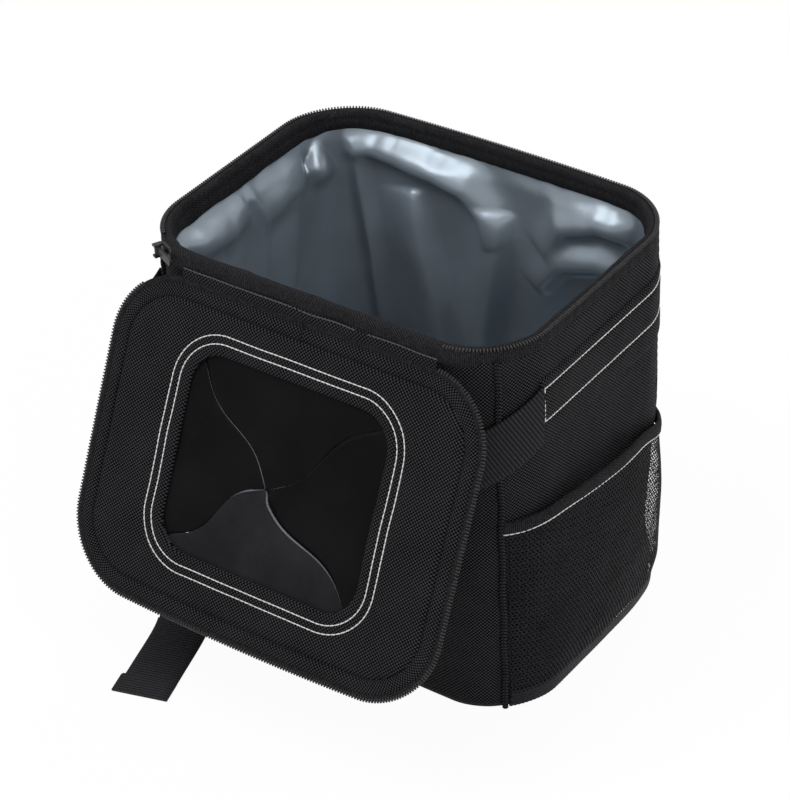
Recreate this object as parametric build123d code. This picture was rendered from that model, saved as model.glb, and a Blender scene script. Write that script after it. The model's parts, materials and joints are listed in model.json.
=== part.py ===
from build123d import *
import math
import os

# Driving dimensions, in millimetres. The bin stands on z = 0 and its hinge side faces -Y.
bin_width = 244.0
bin_depth = 182.0
bin_height = 242.0
corner_radius = 42.0
back_bow = 4.0

# Cloth, padding and film, from the outside inwards
fabric_thickness = 1.2
padding_thickness = 3.0
film_thickness = 0.8
base_thickness = 1.6
board_thickness = 2.4
layer_gap = 0.1

# Corner seams
piping_radius = 1.2
piping_proud = 1.2

# Rim and zip
rim_binding_height = 15.0
rim_binding_width = 4.8
rim_binding_drop = 1.0
rim_binding_bevel = 1.6
zip_tape_height = 6.0
zip_tape_thickness = 0.8
coil_width = 2.4
coil_height = 2.2
coil_proud = 0.6

# Lid, drawn closed on the rim and then swung open
lid_lift = 0.4
lid_hang_angle = 64.0
lid_standoff = 4.5
lid_drop = 12.0
lid_skin_thickness = 1.0
lid_foam_thickness = 3.2
lid_tape_width = 4.0
lid_tape_height = 1.4
lid_binding_width = 4.6
lid_binding_bevel = 1.5
window_width = 131.0
window_depth = 113.0
window_radius = 20.0
rubber_thickness = 1.2
rubber_margin = 8.0
slit_width = 0.5
slit_sagitta = 4.0
slit_end_inset = 7.5

# Hinge strip
strip_length = 166.0
strip_thickness = 1.0
strip_sewn_height = 14.0
strip_fold_rise = 11.0
strip_fold_radius = 0.8

# Zip slider and its pull
slider_inset = 22.0
slider_length = 12.0
slider_height = 8.0
slider_plate = 1.8
slider_drop = 5.0
pin_setback = 4.0
lug_reach = 5.2
lug_length = 3.2
lug_thickness = 1.2
pin_radius = 0.9
pin_clearance = 0.25
pull_eye_radius = 2.2
pull_length = 16.0
pull_thickness = 1.4

# Straps and the fabric band that holds them
sleeve_drop = 28.0
sleeve_width = 43.0
sleeve_thickness = 1.5
sleeve_setback = 33.0
strap_width = 32.0
strap_thickness = 1.6
strap_slope = 29.0
strap_wrap_length = 190.0
strap_clearance = 0.4

# Left strap: how far in from the left wall and forward of the front wall it passes on its way to the floor
strap_lead_run = 46.0
strap_lead_fall = 30.0
strap_bend_inset = 11.0
strap_bend_forward = 26.0
strap_bend_height = 95.0
strap_low_inset = 26.0
strap_low_forward = 30.0
strap_low_height = 28.0
strap_touch_inset = 34.0
strap_touch_forward = 34.0
strap_floor_angle = 15.9
strap_floor_length = 60.0

# Mesh pockets
pocket_height = 138.0
pocket_foot = 4.0
pocket_belly_height = 50.0
pocket_bulge_foot = 4.0
pocket_bulge_belly = 13.5
pocket_bulge_top = 15.0
pocket_seat = 0.3
mesh_thickness = 1.0
pocket_binding_height = 9.0
pocket_binding_thickness = 2.4

# Folds of the lining. Each is fullest at a share of the half width, half depth and height, where it stands in by its rise.
lining_folds = (
    (-0.42, 1.0, 0.88, 10.0),
    (-0.06, 1.0, 0.79, 9.0),
    (-0.04, 1.0, 0.52, 8.0),
    (0.50, 1.0, 0.82, 9.0),
    (-1.0, 0.45, 0.78, 6.0),
    (-1.0, -0.4, 0.72, 6.0),
    (1.0, -0.1, 0.72, 6.0),
    (0.3, -1.0, 0.62, 5.0),
    (-0.35, -1.0, 0.55, 5.0),
)
lining_fold_reach = 34.0
lining_levels = (0, 0.29, 0.56, 0.77, 0.915, 1)
lining_place_spacing = 45.0

# Heights and insets that follow from the values above
panel_foot = base_thickness + layer_gap
panel_top = bin_height - coil_height - zip_tape_height
padding_inset = fabric_thickness + layer_gap
liner_inset = padding_inset + padding_thickness + layer_gap
lining_top = bin_height - rim_binding_height - layer_gap
slider_x = slider_inset - bin_width / 2
board_top = panel_foot + board_thickness
lid_thickness = 2 * lid_skin_thickness + lid_foam_thickness + 2 * layer_gap
lid_swing = 180.0 + lid_hang_angle
front_y = -bin_depth / 2
left_x = -bin_width / 2
sleeve_high = bin_height - sleeve_drop
sleeve_low = sleeve_high - sleeve_width
sleeve_front_y = front_y + sleeve_setback
strap_height = (sleeve_low + sleeve_high) / 2


def side_region(outwards, reach, half_chord, bow, inset):
    """Everything behind one side: a large disc where the side bows out, a large square where it is flat."""
    if bow == 0:
        size = 4 * (bin_width + bin_depth)
        centre = outwards * (reach - inset - size / 2)
        return Pos(centre.X, centre.Y, 0) * Rectangle(size, size)
    disc_radius = (half_chord**2 + bow**2) / (2 * bow)
    centre = outwards * (reach + bow - disc_radius)
    return Pos(centre.X, centre.Y, 0) * Circle(disc_radius - inset)


def plan(inset, right_bow=0.0, left_bow=0.0):
    """The bin seen from above, moved inwards by the inset. A side that is given a bow bulges out by it."""
    half_width = bin_width / 2
    half_depth = bin_depth / 2
    face = side_region(Vector(0, -1, 0), half_depth, half_width, 0, inset)
    face &= side_region(Vector(1, 0, 0), half_width, half_depth, right_bow, inset)
    face &= side_region(Vector(0, 1, 0), half_depth, half_width, back_bow, inset)
    face &= side_region(Vector(-1, 0, 0), half_width, half_depth, left_bow, inset)
    return fillet(face.vertices(), corner_radius - inset)


bin_outline = plan(0)


def ring(outer_inset, inner_inset, low, high):
    """Upright band between two insets of the outline."""
    section = plan(outer_inset) - plan(inner_inset)
    return Pos(0, 0, low) * extrude(section, amount=high - low)


def slab(inset, low, high):
    """Flat plate inside one inset of the outline."""
    return Pos(0, 0, low) * extrude(plan(inset), amount=high - low)


def front_slot(low_x, high_x, depth_of_cut):
    """Block that opens a band on the hinge side between two places along X."""
    length = high_x - low_x
    middle = (low_x + high_x) / 2
    return Pos(middle, front_y, 0) * Box(length, 2 * depth_of_cut, 4 * bin_height)


# Corner seams: where the side panels meet, in the middle of each rounded corner
def corner_arc(side_x, side_y):
    """The outline's arc in the corner on the given sides."""
    arcs = [edge for edge in bin_outline.edges() if edge.geom_type == GeomType.CIRCLE]
    tight = [edge for edge in arcs if abs(edge.radius - corner_radius) < layer_gap]
    return max(tight, key=lambda edge: side_x * (edge @ 0.5).X + side_y * (edge @ 0.5).Y)


def corner_point(side_x, side_y, proud):
    """Point in the middle of a corner, standing out of the outer face by the given amount."""
    arc = corner_arc(side_x, side_y)
    apex = arc @ 0.5
    outwards = (apex - arc.arc_center).normalized()
    return apex + outwards * proud


corner_sides = {
    "front_left": (-1, -1),
    "front_right": (1, -1),
    "back_right": (1, 1),
    "back_left": (-1, 1),
}


def piping(name, clearance):
    """Round cord under the fabric at one corner, grown by a clearance for the cuts around it."""
    centre = corner_point(*corner_sides[name], piping_proud - piping_radius)
    height = panel_top - panel_foot + 2 * clearance
    cord = Cylinder(piping_radius + clearance, height, align=(Align.CENTER, Align.CENTER, Align.MIN))
    return Pos(centre.X, centre.Y, panel_foot - clearance) * cord


piping_grooves = Part() + [piping(name, layer_gap) for name in corner_sides]


def wedge(first_corner, second_corner):
    """Upright wedge from the middle of the bin out through two corners."""
    first = corner_point(*corner_sides[first_corner], 0) * 2
    second = corner_point(*corner_sides[second_corner], 0) * 2
    face = make_face(Polyline((0, 0), (first.X, first.Y), (second.X, second.Y), close=True))
    return extrude(face, amount=bin_height)


panel_ends = {
    "front": ("front_left", "front_right"),
    "right": ("front_right", "back_right"),
    "back": ("back_right", "back_left"),
    "left": ("back_left", "front_left"),
}


def wall_panels():
    """The four outer panels, cut apart at the corner seams."""
    wall = ring(0, fabric_thickness, panel_foot, panel_top) - piping_grooves
    return {side: wall & wedge(*ends) for side, ends in panel_ends.items()}


# Rim
def rim_binding():
    """Padded band inside the rim, bevelled along its inner top edge."""
    outer = padding_inset
    low = bin_height - rim_binding_height
    band = ring(outer, outer + rim_binding_width, low, bin_height - rim_binding_drop)
    top = band.faces().sort_by(Axis.Z)[-1]
    return chamfer(top.inner_wires()[0].edges(), rim_binding_bevel)


def rim_zip_tape():
    """Upright tape between the panels' top edge and the coil."""
    outer = (fabric_thickness - zip_tape_thickness) / 2
    low = panel_top + layer_gap
    high = bin_height - coil_height - layer_gap
    return ring(outer, outer + zip_tape_thickness, low, high)


def rim_zip_coil():
    """Coil along the rim, from the slider round the back to the far end of the hinge strip."""
    band = ring(-coil_proud, coil_width - coil_proud, bin_height - coil_height, bin_height)
    slider_end = slider_x - slider_length / 2
    keep = front_slot(slider_end, strip_length / 2, corner_radius / 2)
    clear_of_binding = slab(padding_inset - layer_gap, bin_height - coil_height, bin_height)
    return band - keep - clear_of_binding


# Lining
def flat_face(*corners):
    """Flat face with the given corners."""
    return make_face(Polyline(*corners, close=True))


def lining_stations():
    """Places round the lining's outer face, anticlockwise, each with its outward direction."""
    corners = []
    for name in ("front_right", "back_right", "back_left", "front_left"):
        arc = corner_arc(*corner_sides[name])
        centre = arc.arc_center
        rays = [(arc @ share - centre).normalized() for share in (0, 0.5, 1)]
        if rays[0].cross(rays[-1]).Z < 0:
            rays.reverse()
        corners.append([(centre + ray * (corner_radius - liner_inset), ray) for ray in rays])
    stations = []
    for here, ahead in zip(corners, corners[1:] + corners[:1]):
        stations += here
        start, outwards = here[-1]
        reach = ahead[0][0] - start
        steps = round(reach.length / lining_place_spacing)
        stations += [(start + reach * (i / steps), outwards) for i in range(1, steps)]
    return stations


def lining_inward(place, height):
    """How far the folds hold the film in from the wall at one place."""
    inward = 0.0
    for across, along, level, rise in lining_folds:
        fullest = Vector(across * bin_width / 2, along * bin_depth / 2, level * bin_height)
        gap = (Vector(place.X, place.Y, height) - fullest).length
        inward += rise * math.exp(-((gap / lining_fold_reach) ** 2))
    return inward


def liner():
    """Open film bag that stands on the base board and hangs in slack folds from the rim."""
    low = board_top + layer_gap
    stations = lining_stations()
    outside = []
    inside = []
    for share in lining_levels:
        height = low + share * (lining_top - low)
        slack = 0 if share in (0, 1) else 1
        floor = film_thickness if share == 0 else 0
        outer_row = []
        inner_row = []
        for place, outwards in stations:
            inward = slack * lining_inward(place, height)
            outer_row.append(place - outwards * inward + Vector(0, 0, height))
            inner_row.append(place - outwards * (inward + film_thickness) + Vector(0, 0, height + floor))
        outside.append(outer_row)
        inside.append(inner_row)
    faces = [flat_face(*outside[0]), flat_face(*inside[0])]
    count = len(stations)
    for i in range(count):
        j = (i + 1) % count
        faces.append(flat_face(outside[-1][i], outside[-1][j], inside[-1][j], inside[-1][i]))
        for skin in (outside, inside):
            for lower, upper in zip(skin, skin[1:]):
                faces.append(flat_face(lower[i], lower[j], upper[j]))
                faces.append(flat_face(lower[i], upper[j], upper[i]))
    return Solid(Shell(faces))


# Straps
def ribbon(stations):
    """Flat strap through stations, each a centre, a heading, a direction across the strap and a width."""
    rims = []
    for centre, heading, across, width in stations:
        edge = across * (width / 2)
        up = heading.cross(across).normalized() * (strap_thickness / 2)
        rims.append([centre - edge - up, centre + edge - up, centre + edge + up, centre - edge + up])
    faces = [flat_face(*rims[0]), flat_face(*rims[-1])]
    for here, ahead in zip(rims, rims[1:]):
        for i in range(4):
            j = (i + 1) % 4
            crease = (here[i], ahead[j]) if i < 2 else (here[j], ahead[i])
            faces.append(flat_face(here[i], here[j], crease[1]))
            faces.append(flat_face(crease[0], ahead[j], ahead[i]))
    return Solid(Shell(faces))


def strap_sleeve():
    """Band of fabric round the left, back and right, over the corner seams."""
    outside = -layer_gap - sleeve_thickness
    band = ring(outside, -layer_gap, sleeve_low, sleeve_high)
    front_cut = Pos(0, sleeve_front_y - bin_depth, bin_height / 2) * Box(
        2 * bin_width, 2 * bin_depth, 2 * bin_height
    )
    return band - front_cut - piping_grooves


strap_standoff = piping_proud + strap_clearance + strap_thickness / 2
strap_start_y = sleeve_front_y - layer_gap
strap_fall = math.tan(math.radians(strap_slope))
strap_upright_width = strap_width / math.cos(math.radians(strap_slope))


def strap_right():
    """Strap that leaves the right end of the sleeve and lies slanting round the front corner."""
    path = plan(-strap_standoff).wire()
    beside = Vertex(bin_width / 2, strap_start_y, 0)
    start = path.param_at_point(path.closest_points(beside)[0])
    forwards = -1 if (path % start).Y > 0 else 1
    station_count = 14
    stations = []
    for i in range(station_count + 1):
        run = strap_wrap_length * i / station_count
        place = (start + forwards * run / path.length) % 1
        heading = path % place * forwards
        centre = path @ place + Vector(0, 0, strap_height - run * strap_fall)
        stations.append((centre, heading, Vector(0, 0, 1), strap_upright_width))
    return ribbon(stations)


def strap_left():
    """Strap that leaves the left end of the sleeve, drops past the front corner and lies on the floor."""
    start_x = left_x - strap_standoff
    floor = strap_thickness / 2 + layer_gap
    floor_turn = math.radians(strap_floor_angle)
    along_floor = Vector(math.sin(floor_turn), -math.cos(floor_turn), 0)
    touch_down = Vector(left_x + strap_touch_inset, front_y - strap_touch_forward, floor)
    drop = Spline(
        (start_x, strap_start_y, strap_height),
        (start_x, strap_start_y - strap_lead_run, strap_height - strap_lead_fall),
        (left_x + strap_bend_inset, front_y - strap_bend_forward, strap_bend_height),
        (left_x + strap_low_inset, front_y - strap_low_forward, strap_low_height),
        touch_down,
        tangents=[(0, -1, -strap_fall), along_floor],
    )
    route = Wire([drop, Line(touch_down, touch_down + along_floor * strap_floor_length)])
    twist_start = 0.1
    twist_end = 0.62
    station_count = 14
    stations = [(route @ 0, Vector(0, -1, 0), Vector(0, 0, 1), strap_upright_width)]
    for i in range(1, station_count + 1):
        t = i / station_count
        heading = (route % t).normalized()
        sideways = (Vector(1, 0, 0) - heading * heading.X).normalized()
        upwards = heading.cross(sideways)
        share = min(max((t - twist_start) / (twist_end - twist_start), 0), 1)
        twist = math.radians(90) * share * share * (3 - 2 * share)
        across = upwards * math.cos(twist) + sideways * math.sin(twist)
        stations.append((route @ t, heading, across, strap_width))
    return ribbon(stations)


# Pockets
pocket_mesh_top = pocket_height - pocket_binding_height
pocket_half_span = -corner_point(1, -1, 0).Y
pocket_radius = (pocket_half_span**2 + pocket_bulge_top**2) / (2 * pocket_bulge_top)


def pocket_roll(low, low_bulge, high, high_bulge, grow):
    """Leaning cylinder whose outermost line runs up the middle of the right pocket between two heights."""
    wall = bin_width / 2
    first = Vector(wall + low_bulge, 0, low)
    second = Vector(wall + high_bulge, 0, high)
    along = (second - first).normalized()
    inwards = along.cross(Vector(0, 1, 0))
    axis_point = (first + second) / 2 + inwards * pocket_radius
    return Plane(origin=axis_point, z_dir=along) * Cylinder(pocket_radius + grow, 4 * pocket_height)


def pocket_body(grow):
    """Solid out to the right pocket's face: flat on the wall at its seams, full at the belly and mouth."""
    height = pocket_mesh_top - pocket_foot
    wall = Pos(0, 0, pocket_foot) * extrude(plan(-grow), amount=height)
    belly = pocket_roll(pocket_foot, pocket_bulge_foot, pocket_belly_height, pocket_bulge_belly, grow)
    belly &= pocket_roll(pocket_belly_height, pocket_bulge_belly, pocket_mesh_top, pocket_bulge_top, grow)
    layer = Pos(0, 0, pocket_foot + height / 2) * Box(2 * bin_width, 2 * bin_depth, height)
    return wall + (belly & layer)


def pocket_mouth(grow):
    """Outline of the right pocket's mouth, seen from above."""
    centre_x = bin_width / 2 + pocket_bulge_top - pocket_radius
    return plan(-grow) + Pos(centre_x, 0) * Circle(pocket_radius + grow)


def on_side(side, piece):
    """The right side's piece, or its mirror image on the left."""
    if side == "left":
        return mirror(piece, about=Plane.YZ)
    return piece


def pocket_mesh(side):
    """Sheet of mesh sewn in at both corner seams and at the foot."""
    sheet = pocket_body(pocket_seat + mesh_thickness) - pocket_body(pocket_seat)
    return on_side(side, (sheet & wedge("front_right", "back_right")) - piping_grooves)


def pocket_binding(side):
    """Bound edge along the pocket's mouth."""
    low = pocket_mesh_top + layer_gap
    section = pocket_mouth(pocket_seat + pocket_binding_thickness) - pocket_mouth(pocket_seat)
    band = Pos(0, 0, low) * extrude(section, amount=pocket_height - low)
    return on_side(side, (band & wedge("front_right", "back_right")) - piping_grooves)


# Lid, each piece drawn closed with its inner face at z = 0
hinge_rest_y = front_y - lid_standoff
hinge_rest_z = bin_height - lid_drop
hinge_closed_y = front_y
hinge_closed_z = bin_height + lid_lift


def lid_pivot():
    """Place of the axis that carries the lid's hinge edge from closed to hanging."""
    step_y = hinge_closed_y - hinge_rest_y
    step_z = hinge_closed_z - hinge_rest_z
    spread = 2 * math.tan(math.radians((360 - lid_swing) / 2))
    middle_y = (hinge_closed_y + hinge_rest_y) / 2
    middle_z = (hinge_closed_z + hinge_rest_z) / 2
    return middle_y - step_z / spread, middle_z + step_y / spread


pivot_y, pivot_z = lid_pivot()
window = RectangleRounded(window_width, window_depth, window_radius)
lid_field_inset = lid_tape_width + lid_binding_width + 2 * layer_gap


def hang(piece):
    """Lifts a piece of the lid onto the rim and swings it open to where it hangs."""
    closed = Pos(0, 0, hinge_closed_z) * piece
    return closed.rotate(Axis((0, pivot_y, pivot_z), (1, 0, 0)), lid_swing)


def lid_skin(low):
    """One face of the lid, with its window."""
    return Pos(0, 0, low) * extrude(plan(lid_field_inset) - window, amount=lid_skin_thickness)


def rubber_sheet(grow):
    """Blank of the diaphragm, grown by a clearance for its seat in the foam."""
    width = window_width + 2 * rubber_margin + 2 * grow
    depth = window_depth + 2 * rubber_margin + 2 * grow
    return Rectangle(width, depth)


rubber_low = lid_skin_thickness + layer_gap + lid_foam_thickness - rubber_thickness


def lid_foam():
    """Padding between the lid's faces, recessed for the diaphragm."""
    low = lid_skin_thickness + layer_gap
    block = Pos(0, 0, low) * extrude(plan(lid_field_inset) - window, amount=lid_foam_thickness)
    seat_depth = rubber_thickness + layer_gap
    seat = Pos(0, 0, rubber_low - layer_gap) * extrude(rubber_sheet(layer_gap), amount=seat_depth)
    return block - seat


def lid_diaphragm():
    """Rubber sheet with four S-shaped slits that run from its middle to the window's corners."""
    reach_x = window_width / 2 - slit_end_inset
    reach_y = window_depth / 2 - slit_end_inset
    slits = Sketch()
    for side_x, side_y in corner_sides.values():
        end = (side_x * reach_x, side_y * reach_y)
        middle = (end[0] / 2, end[1] / 2)
        inner_half = SagittaArc((0, 0), middle, slit_sagitta)
        outer_half = SagittaArc(middle, end, -slit_sagitta)
        slits += trace(inner_half, slit_width)
        slits += trace(outer_half, slit_width)
    sheet = rubber_sheet(0) - slits
    return Pos(0, 0, rubber_low) * extrude(sheet, amount=rubber_thickness)


def lid_edge_binding():
    """Rolled binding between the lid's field and its zip tape."""
    outer = lid_tape_width + layer_gap
    roll = ring(outer, outer + lid_binding_width, 0, lid_thickness)
    faces = roll.faces().sort_by(Axis.Z)
    return chamfer(faces[0].outer_wire().edges() + faces[-1].outer_wire().edges(), lid_binding_bevel)


def lid_zip_tape():
    """Flat tape all round the lid, outside the binding."""
    low = lid_tape_height
    return ring(coil_width - coil_proud + layer_gap, lid_tape_width, low, low + zip_tape_thickness)


def lid_zip_coil():
    """Coil along the lid's edge, open along the hinge strip."""
    low = lid_tape_height - coil_height / 2
    band = ring(-coil_proud, coil_width - coil_proud, low, low + coil_height)
    return band - front_slot(-strip_length / 2, strip_length / 2, corner_radius / 2)


def hinge_strip():
    """Strip sewn to the front panel that folds over and slopes down to the hanging lid's edge."""
    wall_y = hinge_closed_y - layer_gap - strip_thickness / 2
    swing = math.radians(lid_swing)
    down_lid = Vector(math.cos(swing), math.sin(swing), 0)
    through_lid = Vector(-math.sin(swing), math.cos(swing), 0)
    tape_edge = coil_width - coil_proud - strip_thickness / 2
    tape_middle = lid_tape_height + zip_tape_thickness / 2
    lid_edge = Vector(hinge_rest_y, hinge_rest_z, 0) + down_lid * tape_edge + through_lid * tape_middle
    fold = (wall_y, bin_height + strip_fold_rise)
    foot = (wall_y, bin_height - strip_sewn_height)
    path = FilletPolyline(foot, fold, (lid_edge.X, lid_edge.Y), radius=strip_fold_radius)
    section = trace(path, strip_thickness)
    return extrude(Plane.YZ * section, amount=strip_length / 2, both=True)


# Zip slider and pull, drawn along X with the tape behind them and then set on the rim
slider_z = bin_height - slider_drop
pin_reach = slider_plate + lug_reach / 2


def slider_place():
    """Where the slider sits: on the coil's face in the front left corner, turned along the rim."""
    path = plan(-coil_proud - layer_gap).wire()
    beside = Vertex(slider_x, hinge_closed_y, 0)
    place = path.param_at_point(path.closest_points(beside)[0])
    along = path % place
    if along.X < 0:
        along = along * -1
    origin = path @ place + Vector(0, 0, slider_z)
    return Plane(origin=origin, x_dir=along, z_dir=(0, 0, 1))


slider_plane = slider_place()
pin_centre = slider_plane.from_local_coords((-pin_setback, -pin_reach, 0))


def zip_slider():
    """Slider plate with two lugs and the pin that its pull turns on."""
    plate = Box(slider_length, slider_plate, slider_height)
    plate = chamfer(plate.edges().filter_by(Axis.Y), slider_height / 4)
    body = Pos(0, -slider_plate / 2, 0) * plate
    lug_offset = (slider_height - lug_thickness) / 2
    for side in (-1, 1):
        lug = Box(lug_length, lug_reach, lug_thickness)
        body += Pos(-pin_setback, -pin_reach, side * lug_offset) * lug
    pin = Cylinder(pin_radius, slider_height - lug_thickness)
    return slider_plane * (body + Pos(-pin_setback, -pin_reach, 0) * pin)


def zip_pull():
    """Tab with an eye round the slider's pin, lying over the slider towards the hinge strip."""
    eye_height = slider_height - 2 * lug_thickness - 2 * pin_clearance
    eye = Cylinder(pull_eye_radius - pin_clearance, eye_height)
    hole = Cylinder(pin_radius + pin_clearance, 2 * eye_height)
    tab = Box(pull_length, pull_thickness, eye_height, align=(Align.MIN, Align.CENTER, Align.CENTER))
    tab = chamfer(tab.edges().filter_by(Axis.Y).group_by(Axis.X)[-1], eye_height / 3)
    return slider_plane * Pos(-pin_setback, -pin_reach, 0) * (eye + tab - hole)


# All pieces, by name
panels = wall_panels()
pieces = {f"{side}_panel": panel for side, panel in panels.items()}
pieces["base_panel"] = slab(0, 0, base_thickness)
pieces["base_board"] = slab(liner_inset, panel_foot, board_top)
pieces["wall_padding"] = ring(padding_inset, padding_inset + padding_thickness, panel_foot, lining_top)
pieces["liner"] = liner()
pieces["rim_binding"] = rim_binding()
pieces["rim_zip_tape"] = rim_zip_tape()
pieces["rim_zip_coil"] = rim_zip_coil()
for corner in corner_sides:
    pieces[f"corner_piping_{corner}"] = piping(corner, 0)
pieces["strap_sleeve"] = strap_sleeve()
pieces["strap_left"] = strap_left()
pieces["strap_right"] = strap_right()
for side in ("left", "right"):
    pieces[f"pocket_mesh_{side}"] = pocket_mesh(side)
    pieces[f"pocket_binding_{side}"] = pocket_binding(side)
pieces["hinge_strip"] = hinge_strip()
pieces["zip_slider"] = zip_slider()
pieces["zip_pull"] = zip_pull()
pieces["lid_inner_panel"] = hang(lid_skin(0))
pieces["lid_foam"] = hang(lid_foam())
pieces["lid_top_panel"] = hang(lid_skin(lid_thickness - lid_skin_thickness))
pieces["lid_diaphragm"] = hang(lid_diaphragm())
pieces["lid_edge_binding"] = hang(lid_edge_binding())
pieces["lid_zip_tape"] = hang(lid_zip_tape())
pieces["lid_zip_coil"] = hang(lid_zip_coil())

os.makedirs("parts", exist_ok=True)
for name, piece in pieces.items():
    export_step(piece, f"parts/{name}.step")
print("lid axis at y, z:", round(pivot_y, 3), round(pivot_z, 3))
print("pull axis at x, y, z:", [round(value, 3) for value in pin_centre])
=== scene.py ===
"""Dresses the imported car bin: woven walls, film lining, zip, straps, net pockets and a padded lid."""
import json
import math

import bpy
import mathutils
import numpy as np
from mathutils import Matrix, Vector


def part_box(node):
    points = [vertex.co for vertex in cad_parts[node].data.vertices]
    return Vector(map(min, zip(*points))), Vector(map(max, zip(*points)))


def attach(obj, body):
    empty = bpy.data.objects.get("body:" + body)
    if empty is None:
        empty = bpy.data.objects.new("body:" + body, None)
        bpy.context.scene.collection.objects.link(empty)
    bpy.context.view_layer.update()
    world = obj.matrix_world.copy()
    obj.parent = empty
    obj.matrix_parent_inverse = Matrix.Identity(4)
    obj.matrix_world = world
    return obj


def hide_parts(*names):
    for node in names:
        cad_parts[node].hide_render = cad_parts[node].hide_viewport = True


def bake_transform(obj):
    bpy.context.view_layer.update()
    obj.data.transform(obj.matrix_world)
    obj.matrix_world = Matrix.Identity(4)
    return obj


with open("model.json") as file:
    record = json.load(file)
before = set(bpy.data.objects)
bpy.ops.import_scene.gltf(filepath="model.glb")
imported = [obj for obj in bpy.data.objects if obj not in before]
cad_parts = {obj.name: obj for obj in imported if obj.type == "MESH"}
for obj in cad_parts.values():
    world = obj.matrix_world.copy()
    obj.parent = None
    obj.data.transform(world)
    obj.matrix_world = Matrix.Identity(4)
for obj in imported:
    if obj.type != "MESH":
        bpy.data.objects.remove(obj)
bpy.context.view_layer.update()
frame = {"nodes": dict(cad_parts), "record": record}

bl_info = {
    "name": "Car Bin Dressing",
    "version": (1, 0, 0),
    "blender": (4, 5, 0),
    "location": "View3D > Sidebar > Car Bin",
    "description": "Woven cloth, film lining, zip, straps and net pockets of a soft car bin",
    "category": "Object",
}

MM = 0.001
TURN = 2 * math.pi
BASE_LOW, BASE_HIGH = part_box("base_panel")
WALL_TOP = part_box("front_panel")[1][2]
COIL_LOW, COIL_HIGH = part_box("rim_zip_coil")
BINDING_LOW, BINDING_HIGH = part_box("rim_binding")
SLEEVE_LOW, SLEEVE_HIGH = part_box("strap_sleeve")
MOUTH_LOW, MOUTH_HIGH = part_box("pocket_binding_right")
STRIP_LOW, STRIP_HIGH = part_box("hinge_strip")
JOINTS = {joint["name"]: joint for joint in frame["record"]["behaviour"]["joints"]}
HINGE_Y = JOINTS["lid_hinge"]["pos_m"][1]
HINGE_Z = JOINTS["lid_hinge"]["pos_m"][2]
LID_TURN = math.radians(JOINTS["lid_hinge"]["range_deg"][1])
FRONT_Y = BASE_LOW[1]
# Whatever lies further forward than this is on the front side of the rim
FRONT_ZONE = FRONT_Y + 20 * MM
HALF_WIDTH = BASE_HIGH[0]
HALF_DEPTH = -BASE_LOW[1]
BACK_BOW = BASE_HIGH[1] - HALF_DEPTH
RIM_TOP = COIL_HIGH[2]


# Sizes and colours

class CarBinSizes(bpy.types.PropertyGroup):
    """Lengths that a maker of the bin would change."""

    corner_radius: bpy.props.FloatProperty(
        name="Corner radius", description="Radius of the bin's upright corners",
        default=42 * MM, min=10 * MM, unit="LENGTH")
    cloth_thread: bpy.props.FloatProperty(
        name="Cloth thread", description="Width of one thread of the woven cloth",
        default=1.1 * MM, min=0.2 * MM, unit="LENGTH")
    tooth_pitch: bpy.props.FloatProperty(
        name="Tooth pitch", description="Distance from one zip tooth to the next",
        default=1.8 * MM, min=1 * MM, unit="LENGTH")
    stitch_pitch: bpy.props.FloatProperty(
        name="Stitch pitch", description="Distance from one stitch to the next",
        default=3.2 * MM, min=1 * MM, unit="LENGTH")
    stitch_width: bpy.props.FloatProperty(
        name="Stitch width", description="Width of the sewing thread",
        default=0.72 * MM, min=0.2 * MM, unit="LENGTH")
    rib_pitch: bpy.props.FloatProperty(
        name="Webbing rib pitch", description="Distance from one rib of the webbing to the next",
        default=2.0 * MM, min=0.5 * MM, unit="LENGTH")
    hole_pitch: bpy.props.FloatProperty(
        name="Net hole pitch", description="Distance from one hole of the pocket net to the next",
        default=2.6 * MM, min=1 * MM, unit="LENGTH")
    fold_depth: bpy.props.FloatProperty(
        name="Lining fold depth", description="How far the lining's largest folds stand into the bin",
        default=12 * MM, min=0.0, unit="LENGTH")
    window_width: bpy.props.FloatProperty(
        name="Window width", description="Width of the opening in the lid",
        default=131 * MM, min=40 * MM, unit="LENGTH")
    window_depth: bpy.props.FloatProperty(
        name="Window depth", description="Depth of the opening in the lid",
        default=113 * MM, min=40 * MM, unit="LENGTH")
    window_radius: bpy.props.FloatProperty(
        name="Window radius", description="Radius of the corners of the opening in the lid",
        default=20 * MM, min=2 * MM, unit="LENGTH")


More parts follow.
